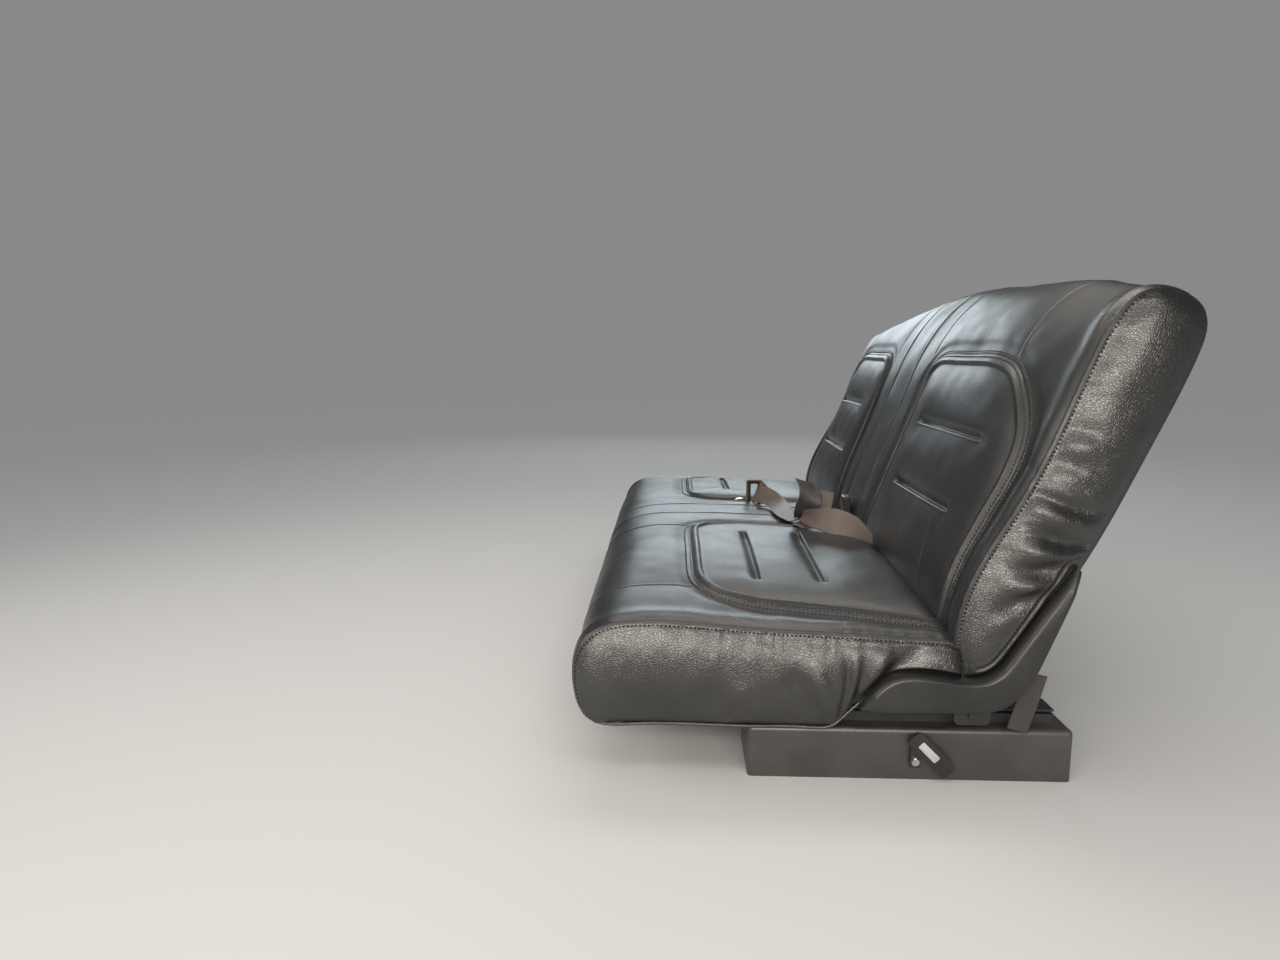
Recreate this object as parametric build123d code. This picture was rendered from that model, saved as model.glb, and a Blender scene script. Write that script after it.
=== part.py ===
from build123d import *
from math import atan2, cos, degrees, radians, sin
import os

# Bench seat of a limousine's middle row, in millimetres.
# +X is the car's left, -Y its front and +Z up. The origin lies on the floor, midway between the four floor bolts.

# Overall
bench_width = 1370.0
piece_gap = 0.3            # between pieces that only lie against each other

# Floor risers, sheet boxes that are open below
riser_length = 460.0
riser_width = 90.0
riser_height = 77.0
riser_wall = 3.0
riser_inset = 10.0         # from the bench's side to the riser's outer face
riser_corner = 6.0
flange_width = 30.0
floor_bolt_radius = 5.5
floor_bolt_from_end = 50.0

# Slide rails
rail_length = 420.0
rail_width = 40.0
rail_height = 14.0
rail_wall = 2.0
rail_lip = 9.0
rail_clearance = 0.5
upper_rail_foot = 3.0
upper_rail_stem = 12.0
upper_rail_head = 3.0

# Cushion frame and pan
frame_over_rail = 7.0
frame_tube = 25.0
frame_front_inset = 40.0
rear_tube_behind_cushion = 8.0
pan_thickness = 3.0
pan_inset = 16.0
pan_rib_width = 26.0
pan_rib_height = 5.0
pan_rib_pitch = 132.0

# Cushion
cushion_overhang = 250.0   # ahead of the riser's front end
cushion_depth = 540.0
cushion_front_height = 265.0
cushion_rear_height = 242.0
cushion_rear_radius = 14.0
cushion_seam_height = 222.0
cushion_bolster = 260.0    # width over which the top rises from the side seam
cushion_front_roll = 72.0
cushion_under_roll = 38.0
crown_margin = 12.0        # by which a crossing profile clears the other's crown
skirt_over_riser = 4.0
skirt_thickness = 11.0

# Backrest, in its own upright frame before it leans back; depths are from its root line
back_lean = 25.0
back_root_behind_cushion = 13.0
back_root_height = 150.0
back_height = 632.0
back_shoulder_height = 572.0
back_brow_rise = 612.0      # top edge half way to the middle
back_foot_height = 4.0
back_bight_depth = 32.0    # front face down in the crease
back_bight_height = 52.0
back_lumbar_depth = 80.0
back_lumbar_height = 160.0
back_bulge = 104.0         # front face at its fullest
back_bulge_height = 430.0
back_brow_height = 550.0   # where the front face starts to roll over the top
back_seam_depth = 58.0     # side seam
back_rear = 58.0           # rear face, behind the root line
back_bolster = 250.0        # width over which the front face swells from the side seam
back_toe_rear = 26.0
back_toe_height = 28.0
back_waist_height = 250.0
back_corner_radius = 62.0
back_panel_thickness = 3.0
back_panel_margin = 34.0

# Sewn horseshoes and channels
groove_width = 9.0
groove_depth = 5.0
channel_width = 16.0
channel_depth = 7.0
insert_outer = 96.0       # from the bench's side to the cushion horseshoe's outer leg, at its front corner
insert_inner = 545.0       # from the bench's side to its inner leg
insert_flare = 54.0        # by which the outer leg spreads towards the crease
insert_front = 172.0       # behind the cushion's front
insert_corner = 75.0
cushion_channels = (276.0, 376.0)   # behind the cushion's front
channel_half_length = 132.0
arch_foot_outer = 48.0
arch_foot_inner = 545.0
arch_top_outer = 90.0
arch_top_inner = 528.0
arch_height = 452.0
arch_corner = 90.0
back_channels = (200.0, 318.0)      # above the backrest's root
centre_seam = 56.0         # from the middle to each centre seam
seam_groove = 3.0

# Hinge brackets, lower tube and side shields
bracket_thickness = 4.0
bracket_clearance = 0.6
bracket_corner = 8.0
lower_tube_radius = 12.5
lower_tube_share = 0.44    # its place along the backrest's sloped heel
frame_bolt_radius = 6.0
frame_bolt_head = 4.0
shield_thickness = 20.0
shield_wall = 2.5
shield_edge = 5.0
shield_start = 404.0       # nose, behind the cushion's front; the runs below are from the nose
shield_low = 14.0          # lower edge above the frame's underside; the heights below are from this edge
shield_nose_height = 8.0
shield_crest_run = 50.0
shield_crest_height = 55.0
shield_dip_run = 150.0
shield_dip_height = 41.0
shield_elbow_run = 192.0
shield_elbow_height = 54.0
shield_tip_run = 282.0
shield_tip_height = 214.0
shield_tip_width = 13.0
shield_tip_drop = 8.0
shield_heel_run = 222.0
shield_heel_height = 42.0
shield_sole_run = 178.0

# Release lever on the left riser
lever_pivot_y = 7.0
lever_pivot_height = 31.0
lever_arm_height = 70.0
lever_arm_width = 14.0
lever_arm_foot = 10.0      # below the pivot
lever_boss_radius = 8.0
lever_thickness = 3.0
lever_stand_off = 5.0
lever_bolt_radius = 6.0
handle_width = 26.0
handle_length = 76.0
handle_slope = 45.0
handle_corner = 6.0
handle_drop = 6.0          # from the arm's end to the handle's root
label_margin = 9.0
label_side_margin = 4.0
label_corner = 3.0
label_thickness = 0.6
lever_bolt_head = 4.0
lever_bolt_chamfer = 1.2

# Lap belts
webbing_width = 46.0
webbing_thickness = 1.6
strap_behind_elbow = 20.0  # outboard strap's foot, from the shield's elbow
strap_foot_over_riser = 9.0
outboard_strap_length = 84.0
strap_slot_clearance = 1.0
strap_lean = 12.0
lap_middle = 150.0         # from the bench's middle to the middle of the webbing
lap_behind_front = 452.0
lap_turn = 30.0
lap_length = 270.0
fold_middle = 22.0
fold_behind_front = 376.0
fold_turn = 62.0
fold_length = 120.0
latch_middle = -112.0
latch_behind_front = 326.0
latch_width = 32.0
latch_height = 62.0
latch_thickness = 3.0
latch_rim = 7.0
latch_corner = 4.0
tongue_length = 34.0
tongue_width = 24.0
tongue_thickness = 2.5
buckle_width = 34.0
buckle_depth = 16.0
buckle_height = 54.0
buckle_corner = 4.0
buckle_mouth_depth = 14.0
buckle_play = 1.0
buckle_behind_front = 516.0
buckle_seat = 0.35
tongue_gap = 2.5
buckle_tilt = 8.0

# Values worked out from the ones above
half_width = bench_width / 2
cushion_front = -riser_length / 2 - cushion_overhang
cushion_rear = cushion_front + cushion_depth
riser_outer = half_width - riser_inset
riser_middle = riser_outer - riser_width / 2
rail_top = riser_height + rail_height
frame_bottom = rail_top + frame_over_rail
frame_top = frame_bottom + frame_tube
cushion_base = frame_top + pan_thickness
skirt_bottom = riser_height + skirt_over_riser
back_root = cushion_rear + back_root_behind_cushion
rear_tube_y = cushion_rear + rear_tube_behind_cushion + frame_tube / 2
lean = Pos(0, back_root, back_root_height) * Rot(-back_lean, 0, 0)


def outline(rows):
    """Closed face from rows of (across, up, corner radius)."""
    points = [(row[0], row[1]) for row in rows]
    return make_face(FilletPolyline(*points, radius=[row[2] for row in rows], close=True).edges())


def both_sides(rows):
    """Rows for the right half of a symmetric outline, mirrored to the left."""
    return rows + [(-across, up, radius) for across, up, radius in reversed(rows)]


def bar(x0, x1, y0, y1, z0, z1):
    """Plain block between two corners."""
    return Pos((x0 + x1) / 2, (y0 + y1) / 2, (z0 + z1) / 2) * Box(x1 - x0, y1 - y0, z1 - z0)


def leaned(y, z):
    """Place in the car of a point of the upright backrest frame."""
    tilt = radians(back_lean)
    return (back_root + y * cos(tilt) + z * sin(tilt), back_root_height - y * sin(tilt) + z * cos(tilt))


def riser():
    outer = bar(riser_outer - riser_width, riser_outer, -riser_length / 2, riser_length / 2, 0, riser_height)
    upright = outer.edges().filter_by(Axis.Z)
    box = fillet(upright, riser_corner)
    box = chamfer(box.faces().sort_by(Axis.Z)[-1].edges(), riser_wall / 2)
    hollow = bar(
        riser_outer - riser_width + riser_wall,
        riser_outer - riser_wall,
        -riser_length / 2 + riser_wall,
        riser_length / 2 - riser_wall,
        -1,
        riser_height - riser_wall,
    )
    flange_inner = riser_outer - riser_width - flange_width
    flange = bar(flange_inner, riser_outer - riser_width + riser_wall, -riser_length / 2, riser_length / 2, 0, riser_wall)
    box = box - hollow
    box = box + flange
    for end in (-1, 1):
        hole_y = end * (riser_length / 2 - floor_bolt_from_end)
        hole = Pos(flange_inner + flange_width / 2, hole_y, riser_wall / 2) * Cylinder(floor_bolt_radius, 4 * riser_wall)
        box = box - hole
    return box


def lower_rail():
    """C channel with turned-in lips."""
    half = rail_width / 2
    block = bar(riser_middle - half, riser_middle + half, -rail_length / 2, rail_length / 2, riser_height, rail_top)
    inside = bar(
        riser_middle - half + rail_wall,
        riser_middle + half - rail_wall,
        -rail_length,
        rail_length,
        riser_height + rail_wall,
        rail_top - rail_wall,
    )
    slot = bar(
        riser_middle - half + rail_lip,
        riser_middle + half - rail_lip,
        -rail_length,
        rail_length,
        riser_height + rail_wall,
        rail_top + 1,
    )
    return block - inside - slot


def upper_rail():
    """Foot that runs in the channel, a stem through its slot and a head under the cushion frame."""
    foot_half = rail_width / 2 - rail_wall - rail_clearance
    foot_bottom = riser_height + rail_wall + rail_clearance
    foot_top = foot_bottom + upper_rail_foot
    stem_half = upper_rail_stem / 2
    y0, y1 = -rail_length / 2, rail_length / 2
    rail = bar(riser_middle - foot_half, riser_middle + foot_half, y0, y1, foot_bottom, foot_top)
    rail = rail + bar(riser_middle - stem_half, riser_middle + stem_half, y0, y1, foot_bottom, frame_bottom)
    head_bottom = frame_bottom - upper_rail_head
    rail = rail + bar(riser_middle - rail_width / 2, riser_middle + rail_width / 2, y0, y1, head_bottom, frame_bottom)
    return rail


def cushion_frame():
    """Side rails over the slide rails, joined by a front, a middle and a rear cross tube and one centre rail."""
    tube = frame_tube / 2
    front_y = cushion_front + frame_front_inset + tube
    middle_y = (front_y + rear_tube_y) / 2
    reach = half_width - pan_inset
    cross_members = [
        # (centre along Y, half length along X)
        (front_y, reach),
        (middle_y, riser_middle),
        (rear_tube_y, half_width),
    ]
    frame = None
    for centre, half in cross_members:
        member = bar(-half, half, centre - tube, centre + tube, frame_bottom, frame_top)
        frame = member if frame is None else frame + member
    for x in (-riser_middle, 0, riser_middle):
        frame = frame + bar(x - tube, x + tube, front_y - tube, rear_tube_y + tube, frame_bottom, frame_top)
    return frame


def cushion_pan():
    """Pressed sheet on the frame, with ribs that hang between the cross tubes."""
    front_y = cushion_front + frame_front_inset
    half = half_width - pan_inset
    pan = bar(-half, half, front_y, cushion_rear, frame_top, cushion_base)
    half_count = int((riser_middle - frame_tube) / pan_rib_pitch)
    front_end = front_y + 2 * frame_tube
    rear_end = (front_y + rear_tube_y) / 2 - frame_tube
    for step in range(-half_count, half_count + 1):
        x = step * pan_rib_pitch
        if abs(x) < frame_tube:
            continue
        rib = bar(x - pan_rib_width / 2, x + pan_rib_width / 2, front_end, rear_end, frame_top - pan_rib_height, frame_top)
        pan = pan + rib
    return pan


def cushion_form():
    """Outer form of cushion and skirt: a side profile met by a front profile."""
    side = outline([
        # (along Y, up, corner radius)
        (cushion_front, skirt_bottom, cushion_under_roll),
        (cushion_front, cushion_front_height, cushion_front_roll),
        (cushion_rear, cushion_rear_height, cushion_rear_radius),
        (cushion_rear, skirt_bottom, 0),
    ])
    front = outline(both_sides([
        # (along X, up, corner radius)
        (half_width, skirt_bottom, 0),
        (half_width, cushion_seam_height, 0),
        (half_width - cushion_bolster, cushion_front_height + crown_margin, 0),
    ]))
    long = extrude(Plane.YZ * side, amount=half_width, both=True)
    deep = extrude(Plane.XZ * front, amount=2 * cushion_depth, both=True)
    return long & deep


def ring(rows, width):
    """Band of one width along the inside of an outline."""
    face = outline(rows)
    return face - offset(face, -width)


def surface_groove(form, band, inward):
    """The skin of a form under a band, as deep as the shift inward."""
    return band & (form - form.moved(Pos(*inward)))


def insert_rows(side):
    """Horseshoe on the cushion, open to the rear."""
    outer = half_width - insert_outer
    inner = half_width - insert_inner
    front = cushion_front + insert_front
    beyond = cushion_rear + 2 * groove_width
    rows = [
        (outer + insert_flare, beyond, 0),
        (outer, front, insert_corner),
        (inner, front, insert_corner),
        (inner, beyond, 0),
    ]
    return [(side * x, y, radius) for x, y, radius in rows]


def cushion_sewing(form):
    """Grooves of the horseshoes, channels and centre seams on the cushion's top."""
    shift = (0, 0, -groove_depth)
    tall = cushion_front_height + 50
    cut = form
    for side in (-1, 1):
        band = extrude(Plane.XY * ring(insert_rows(side), groove_width), amount=tall)
        band = band & bar(-half_width, half_width, cushion_front, cushion_rear + 1, cushion_seam_height, tall)
        cut = cut - surface_groove(form, band, shift)
        middle = side * (half_width - (insert_outer + insert_inner) / 2)
        for behind in cushion_channels:
            y = cushion_front + behind
            channel = Plane.XY * Pos(middle, y) * SlotOverall(2 * channel_half_length, channel_width)
            cut = cut - surface_groove(form, extrude(channel, amount=tall), (0, 0, -channel_depth))
        x = side * centre_seam
        seam = bar(x - seam_groove / 2, x + seam_groove / 2, cushion_front - 1, cushion_rear + 1, cushion_base + 40, tall)
        cut = cut - surface_groove(form, seam, (0, seam_groove, -seam_groove))
    return cut


def cushion():
    sewn = cushion_sewing(cushion_form())
    return sewn & bar(-half_width, half_width, cushion_front, cushion_rear, cushion_base, cushion_front_height + 50)


def cushion_skirt():
    """Leather skirt that hangs round the frame in front and at both sides."""
    wall = skirt_thickness
    below = bar(-half_width, half_width, cushion_front, cushion_rear, skirt_bottom, cushion_base - piece_gap)
    inner = bar(-half_width + wall, half_width - wall, cushion_front + wall, cushion_rear + 1, 0, cushion_base)
    return (cushion_form() & below) - inner


def backrest_form():
    """Upright backrest: side, plan and front profiles met together."""
    side = outline([
        # (behind the root line, up, corner radius)
        (0, back_foot_height, 8),
        (-back_bight_depth, back_bight_height, 50),
        (-back_lumbar_depth, back_lumbar_height, 120),
        (-back_bulge, back_bulge_height, 300),
        (-back_bulge, back_brow_height, 60),
        (-back_bulge / 2, back_height, 45),
        (back_rear, back_height, 30),
        (back_rear, back_waist_height, 120),
        (back_toe_rear, back_toe_height, 10),
    ])
    plan = outline(both_sides([
        # (along X, behind the root line, corner radius)
        (half_width, back_rear + 1, 0),
        (half_width, -back_seam_depth, 0),
        (half_width - back_bolster, -back_bulge - crown_margin, 0),
    ]))
    front = outline(both_sides([
        # (along X, up, corner radius)
        (half_width, -1, 0),
        (half_width, back_shoulder_height, back_corner_radius),
        (half_width / 2, back_brow_rise, 0),
        (centre_seam, back_height + crown_margin, 0),
    ]))
    long = extrude(Plane.YZ * side, amount=half_width, both=True)
    tall = extrude(Plane.XY * plan, amount=2 * back_height, both=True)
    deep = extrude(Plane.XZ * front, amount=2 * back_bulge, both=True)
    return long & tall & deep


def arch_rows(side):
    """Arch on the backrest, its legs running down into the crease."""
    rows = [
        (half_width - arch_foot_outer, -groove_width, 0),
        (half_width - arch_top_outer, arch_height, arch_corner),
        (half_width - arch_top_inner, arch_height, arch_corner),
        (half_width - arch_foot_inner, -groove_width, 0),
    ]
    return [(side * x, z, radius) for x, z, radius in rows]


def backrest():
    form = backrest_form()
    shift = (0, groove_depth, 0)
    front_half = bar(-half_width, half_width, -2 * back_bulge, 0, 60, back_height + 50)
    cut = form
    for side in (-1, 1):
        band = extrude(Plane.XZ * ring(arch_rows(side), groove_width), amount=2 * back_bulge) & front_half
        cut = cut - surface_groove(form, band, shift)
        middle = side * (half_width - (arch_top_outer + arch_top_inner) / 2)
        for up in back_channels:
            channel = Plane.XZ * Pos(middle, up) * SlotOverall(2 * channel_half_length, channel_width)
            cut = cut - surface_groove(form, extrude(channel, amount=2 * back_bulge), (0, channel_depth, 0))
        x = side * centre_seam
        seam = bar(x - seam_groove / 2, x + seam_groove / 2, -2 * back_bulge, back_rear / 2, 60, back_height + 50)
        cut = cut - surface_groove(form, seam, (0, seam_groove, -seam_groove))
    return lean * cut


def back_panel():
    """Stiff board over the rear of the backrest."""
    rows = both_sides([
        (half_width - back_panel_margin, back_waist_height + back_panel_margin, 30),
        (half_width - back_panel_margin, back_shoulder_height - back_panel_margin, 50),
    ])
    face = Plane.XZ * outline(rows)
    board = Pos(0, back_rear + piece_gap, 0) * extrude(face, amount=-back_panel_thickness)
    return lean * board


def lower_tube_centre():
    """Middle of the cross tube that lies against the backrest's sloped heel."""
    toe = leaned(back_toe_rear, back_toe_height)
    waist = leaned(back_rear, back_waist_height)
    run = (waist[0] - toe[0], waist[1] - toe[1])
    length = (run[0] ** 2 + run[1] ** 2) ** 0.5
    away = lower_tube_radius + piece_gap
    y = toe[0] + lower_tube_share * run[0] + away * run[1] / length
    z = toe[1] + lower_tube_share * run[1] - away * run[0] / length
    return y, z


def lower_tube():
    y, z = lower_tube_centre()
    return Pos(0, y, z) * Rot(0, 90, 0) * Cylinder(lower_tube_radius, bench_width)


def hinge_bracket():
    """Plate inside the shield that ties the rear cross tube to the lower tube behind the backrest."""
    tube_y, tube_z = lower_tube_centre()
    shape = offset(outline(shield_rows()), -shield_wall - bracket_clearance)
    ahead = rear_tube_y - frame_tube
    plate = extrude(Plane.YZ * shape, amount=bracket_thickness)
    plate = plate & bar(0, bracket_thickness, ahead, tube_y + bench_width, 0, tube_z + 2 * lower_tube_radius)
    lug = Pos(rear_tube_y, frame_top - bracket_corner) * RectangleRounded(2 * frame_tube, 2 * frame_tube, bracket_corner)
    plate = plate + extrude(Plane.YZ * lug, amount=bracket_thickness)
    bolt_height = frame_bottom + frame_bolt_radius + bracket_clearance
    head = Pos(bracket_thickness + frame_bolt_head / 2, rear_tube_y, bolt_height) * Rot(0, 90, 0)
    plate = plate + head * Cylinder(frame_bolt_radius, frame_bolt_head)
    return Pos(half_width, 0, 0) * plate


def shield_rows():
    """Side shield seen from the car's left: low nose, crest, dip and a rising rear arm."""
    nose = cushion_front + shield_start
    low = frame_bottom + shield_low
    rows = [
        # (run from the nose, up from the lower edge, corner radius)
        (0, 0, 3),
        (0, shield_nose_height, 5),
        (shield_crest_run, shield_crest_height, 18),
        (shield_dip_run, shield_dip_height, 60),
        (shield_elbow_run, shield_elbow_height, 24),
        (shield_tip_run, shield_tip_height, 6),
        (shield_tip_run + shield_tip_width, shield_tip_height - shield_tip_drop, 6),
        (shield_heel_run, shield_heel_height, 60),
        (shield_sole_run, 0, 60),
    ]
    return [(nose + run, low + up, radius) for run, up, radius in rows]


def side_shield():
    """Moulded shell, open towards the seat."""
    face = outline(shield_rows())
    outer = extrude(Plane.YZ * face, amount=shield_thickness)
    outer = chamfer(outer.faces().sort_by(Axis.X)[-1].edges(), shield_edge / 2)
    inside = extrude(Plane.YZ * offset(face, -shield_wall), amount=shield_thickness - shield_wall)
    shell = Pos(half_width + bracket_thickness + piece_gap, 0, 0) * (outer - inside)
    return shell - outboard_strap(strap_slot_clearance)


def handle_place():
    """Middle of the sloping handle, in the plane of the lever."""
    middle = handle_length / 2 - handle_width / 4
    return Pos(lever_pivot_y, lever_arm_height - handle_drop) * Rot(0, 0, -handle_slope) * Pos(middle, 0)


def release_lever():
    """Narrow arm on the pivot, a knuckle and a flat handle that slopes down to the rear."""
    face_x = riser_outer + lever_stand_off
    start_x = face_x + lever_thickness
    half = lever_arm_width / 2
    foot = lever_pivot_height - lever_arm_foot
    arm = bar(face_x, start_x, lever_pivot_y - half, lever_pivot_y + half, foot, lever_arm_height)
    boss = Pos(riser_outer + lever_stand_off / 2, lever_pivot_y, lever_pivot_height) * Rot(0, 90, 0)
    arm = arm + boss * Cylinder(lever_boss_radius, lever_stand_off)
    plate = Plane.YZ * handle_place() * RectangleRounded(handle_length, handle_width, handle_corner)
    return arm + Pos(start_x, 0, 0) * extrude(plate, amount=lever_thickness)


def release_label():
    """Blank plate on the handle."""
    length = handle_length - 2 * label_margin
    width = handle_width - 2 * label_side_margin
    plate = Plane.YZ * handle_place() * RectangleRounded(length, width, label_corner)
    return Pos(riser_outer + lever_stand_off + 2 * lever_thickness, 0, 0) * extrude(plate, amount=label_thickness)


def lever_bolt():
    x = riser_outer + lever_stand_off + lever_thickness + lever_bolt_head / 2
    bolt = Pos(x, lever_pivot_y, lever_pivot_height) * Rot(0, 90, 0) * Cylinder(lever_bolt_radius, lever_bolt_head)
    return chamfer(bolt.faces().sort_by(Axis.X)[-1].edges(), lever_bolt_chamfer)


def outboard_strap(margin=0.0):
    """Lap belt's outer end, flat against the hinge bracket's outside; a margin gives the slot it passes."""
    x = half_width + bracket_thickness + piece_gap
    y = cushion_front + shield_start + shield_elbow_run + strap_behind_elbow
    turned = Pos(x, y, riser_height + strap_foot_over_riser) * Rot(-strap_lean, 0, 0)
    half = webbing_width / 2 + margin
    return turned * bar(-margin, webbing_thickness + margin, -half, half, -margin, outboard_strap_length + margin)


def on_cushion(x, behind, turn, height=0.0):
    """Place on the cushion's sloping top, turned about its normal."""
    fall = cushion_front_height - cushion_rear_height
    z = cushion_front_height - fall * behind / cushion_depth + piece_gap + height
    return Pos(x, cushion_front + behind, z) * Rot(-degrees(atan2(fall, cushion_depth)), 0, 0) * Rot(0, 0, turn)


def lap_webbing():
    """Inner end of the lap belt, lying from the crease towards the middle of the cushion."""
    half = webbing_width / 2
    return on_cushion(lap_middle, lap_behind_front, lap_turn) * bar(-lap_length / 2, lap_length / 2, -half, half, 0, webbing_thickness)


def webbing_fold():
    """Loose fold of webbing that lies on the first layer."""
    half = webbing_width / 2
    place = on_cushion(fold_middle, fold_behind_front, fold_turn, webbing_thickness + piece_gap)
    return place * bar(-fold_length / 2, fold_length / 2, -half, half, 0, webbing_thickness)


def latch_plate():
    """Flat belt plate with one window, standing on its edge on the cushion."""
    face = RectangleRounded(latch_width, latch_height, latch_corner)
    window = RectangleRounded(latch_width - 2 * latch_rim, latch_height - 2 * latch_rim, latch_corner / 2)
    plate = extrude(Plane.YZ * (face - window), amount=latch_thickness / 2, both=True)
    return on_cushion(latch_middle, latch_behind_front, 0, latch_height / 2) * plate


def latch_tongue():
    """Bright tongue that lies in front of the plate, with its catch window."""
    face = RectangleRounded(tongue_length, tongue_width, latch_corner)
    window = Pos(-tongue_length / 6, 0) * Rectangle(tongue_length / 3, tongue_width / 2)
    ahead = latch_behind_front - latch_width / 2 - tongue_length / 2 - tongue_gap
    return on_cushion(latch_middle, ahead, 90) * extrude(face - window, amount=tongue_thickness)


def belt_buckle():
    """Buckle housing that stands in the crease at the middle of the bench, with a mouth for the tongue."""
    body = fillet(Box(buckle_width, buckle_depth, buckle_height).edges(), buckle_corner)
    mouth_width = tongue_width + buckle_play
    mouth = Box(mouth_width, tongue_thickness + buckle_play, 2 * buckle_mouth_depth)
    body = body - Pos(0, 0, buckle_height / 2) * mouth
    return on_cushion(0, buckle_behind_front, 0, buckle_height / 2 + buckle_seat) * Rot(buckle_tilt, 0, 0) * body


def mirrored(shape):
    return mirror(shape, about=Plane.YZ)


def write_parts():
    os.makedirs("parts", exist_ok=True)
    pairs = {
        "riser": riser(),
        "rail_lower": lower_rail(),
        "rail_upper": upper_rail(),
        "hinge_bracket": hinge_bracket(),
        "side_shield": side_shield(),
        "belt_outboard": outboard_strap(),
    }
    singles = {
        "cushion_frame": cushion_frame(),
        "cushion_pan": cushion_pan(),
        "cushion": cushion(),
        "cushion_skirt": cushion_skirt(),
        "backrest": backrest(),
        "back_panel": back_panel(),
        "lower_back_tube": lower_tube(),
        "release_lever": release_lever(),
        "release_label": release_label(),
        "lever_bolt": lever_bolt(),
        "lap_webbing": lap_webbing(),
        "webbing_fold": webbing_fold(),
        "latch_plate": latch_plate(),
        "latch_tongue": latch_tongue(),
        "belt_buckle": belt_buckle(),
    }
    for name, shape in pairs.items():
        export_step(shape, f"parts/{name}_left.step")
        export_step(mirrored(shape), f"parts/{name}_right.step")
    for name, shape in singles.items():
        export_step(shape, f"parts/{name}.step")


write_parts()
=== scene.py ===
from math import cos, pi, radians, sin

import bpy
import numpy as np
from mathutils import Matrix


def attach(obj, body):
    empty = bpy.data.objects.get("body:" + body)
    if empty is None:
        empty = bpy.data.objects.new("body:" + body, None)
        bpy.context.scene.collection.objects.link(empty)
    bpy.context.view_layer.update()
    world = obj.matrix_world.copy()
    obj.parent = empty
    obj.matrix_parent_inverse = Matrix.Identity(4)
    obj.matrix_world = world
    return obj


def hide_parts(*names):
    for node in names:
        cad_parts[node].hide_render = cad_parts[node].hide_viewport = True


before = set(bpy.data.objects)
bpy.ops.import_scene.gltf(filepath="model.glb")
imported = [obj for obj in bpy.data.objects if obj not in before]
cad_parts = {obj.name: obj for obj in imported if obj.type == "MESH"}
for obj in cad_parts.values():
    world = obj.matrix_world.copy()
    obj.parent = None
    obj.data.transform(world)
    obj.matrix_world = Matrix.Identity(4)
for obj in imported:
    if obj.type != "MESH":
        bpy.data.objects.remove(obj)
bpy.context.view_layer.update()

# Leather bench on floor risers. Lengths are in millimetres until a mesh is written in metres.
# w runs inward from the bench's side, depth runs back from the cushion's front, and up is height
# over the floor.

MM = 0.001
HALF = 685.0            # from the bench's middle to its side
FRONT_Y = -480.0        # the cushion's front
ROOT_DEPTH = 553.0      # foot of the backrest, about which it leans
ROOT_UP = 150.0
LEAN = radians(25)
ROW_STEP = 3.0          # between the rows of a sewn section
REAR_STEP = 9.0         # between its rows against the rear board
COLUMN_STEP = 3.2       # between its columns
MIDDLE_STEP = 2.6       # between the columns of a middle section
COARSE = 10.0           # grid that the cloth is blown up on
CLOTH_FRAMES = 20
CLOTH_PRESSURE = 4.0
CUSHION_SEAM = 51.0     # from the bench's middle to the seam beside it
BACK_SEAM = 60.0
CUSHION_TOP = 205.0     # above it the cushion's skin faces up
SIDE_STITCH = 3.4       # from a side seam or hem to its stitches
WELT_UP = 80.0          # height of the cushion's lower edge
PANEL_INSET = 2.0       # from the bench's side to a side panel's seam
SIDE_SWELL = 17.0       # how far a side panel swells out
REACH = 120.0
FAR = 1e9


# ---------------------------------------------------------------- numbers and curves

def cubic(knots, values, at):
    """Natural cubic spline through values at knots, sampled at the places given."""
    count = len(knots)
    gaps = np.diff(knots)
    matrix = np.eye(count)
    right = np.zeros_like(values)
    for i in range(1, count - 1):
        matrix[i, i - 1] = gaps[i - 1]
        matrix[i, i] = 2 * (gaps[i - 1] + gaps[i])
        matrix[i, i + 1] = gaps[i]
        right[i] = 6 * ((values[i + 1] - values[i]) / gaps[i] - (values[i] - values[i - 1]) / gaps[i - 1])
    bend = np.linalg.solve(matrix, right)
    i = np.clip(np.searchsorted(knots, at) - 1, 0, count - 2)
    gap = gaps[i]
    a = ((knots[i + 1] - at) / gap)[:, None]
    b = ((at - knots[i]) / gap)[:, None]
    curve = (a ** 3 - a) * bend[i] + (b ** 3 - b) * bend[i + 1]
    return a * values[i] + b * values[i + 1] + curve * (gap ** 2)[:, None] / 6


def chords(points):
    steps = np.linalg.norm(np.diff(points, axis=0), axis=1)
    return np.concatenate([[0], np.cumsum(steps)])


def points_at(line, run, at):
    """Points of a line at places along it, where run gives the places of its own points."""
    return np.stack([np.interp(at, run, line[:, k]) for k in range(line.shape[1])], axis=-1)


def spaced(total, step, zones):
    """Places from 0 to total, a step apart, closer together in zones of (middle, half width, step)."""
    fine = np.arange(0, total, 0.5)
    density = np.full(fine.shape, 1 / step)
    for middle, half, close in zones:
        density = np.where(np.abs(fine - middle) < half, np.maximum(density, 1 / close), density)
    density = np.convolve(np.pad(density, 8, mode="edge"), np.ones(17) / 17, mode="valid")
    count = np.concatenate([[0], np.cumsum(density) * 0.5])
    fine = np.append(fine, total)
    return np.interp(np.linspace(0, count[-1], int(count[-1]) + 1), count, fine)


def measured(points):
    """Spline through control points: its knots, fine places on them and the run at each."""
    points = np.array(points, float)
    knots = chords(points)
    fine = np.linspace(0, knots[-1], 2500)
    return points, knots, fine, chords(cubic(knots, points, fine))


def total_run(points):
    return measured(points)[3][-1]


def run_at(points, column, value):
    """Run along the spline at which a coordinate first passes a value."""
    points, knots, fine, run = measured(points)
    line = cubic(knots, points, fine)[:, column]
    return run[np.nonzero(np.diff(np.sign(line - value)))[0][0]]


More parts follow.
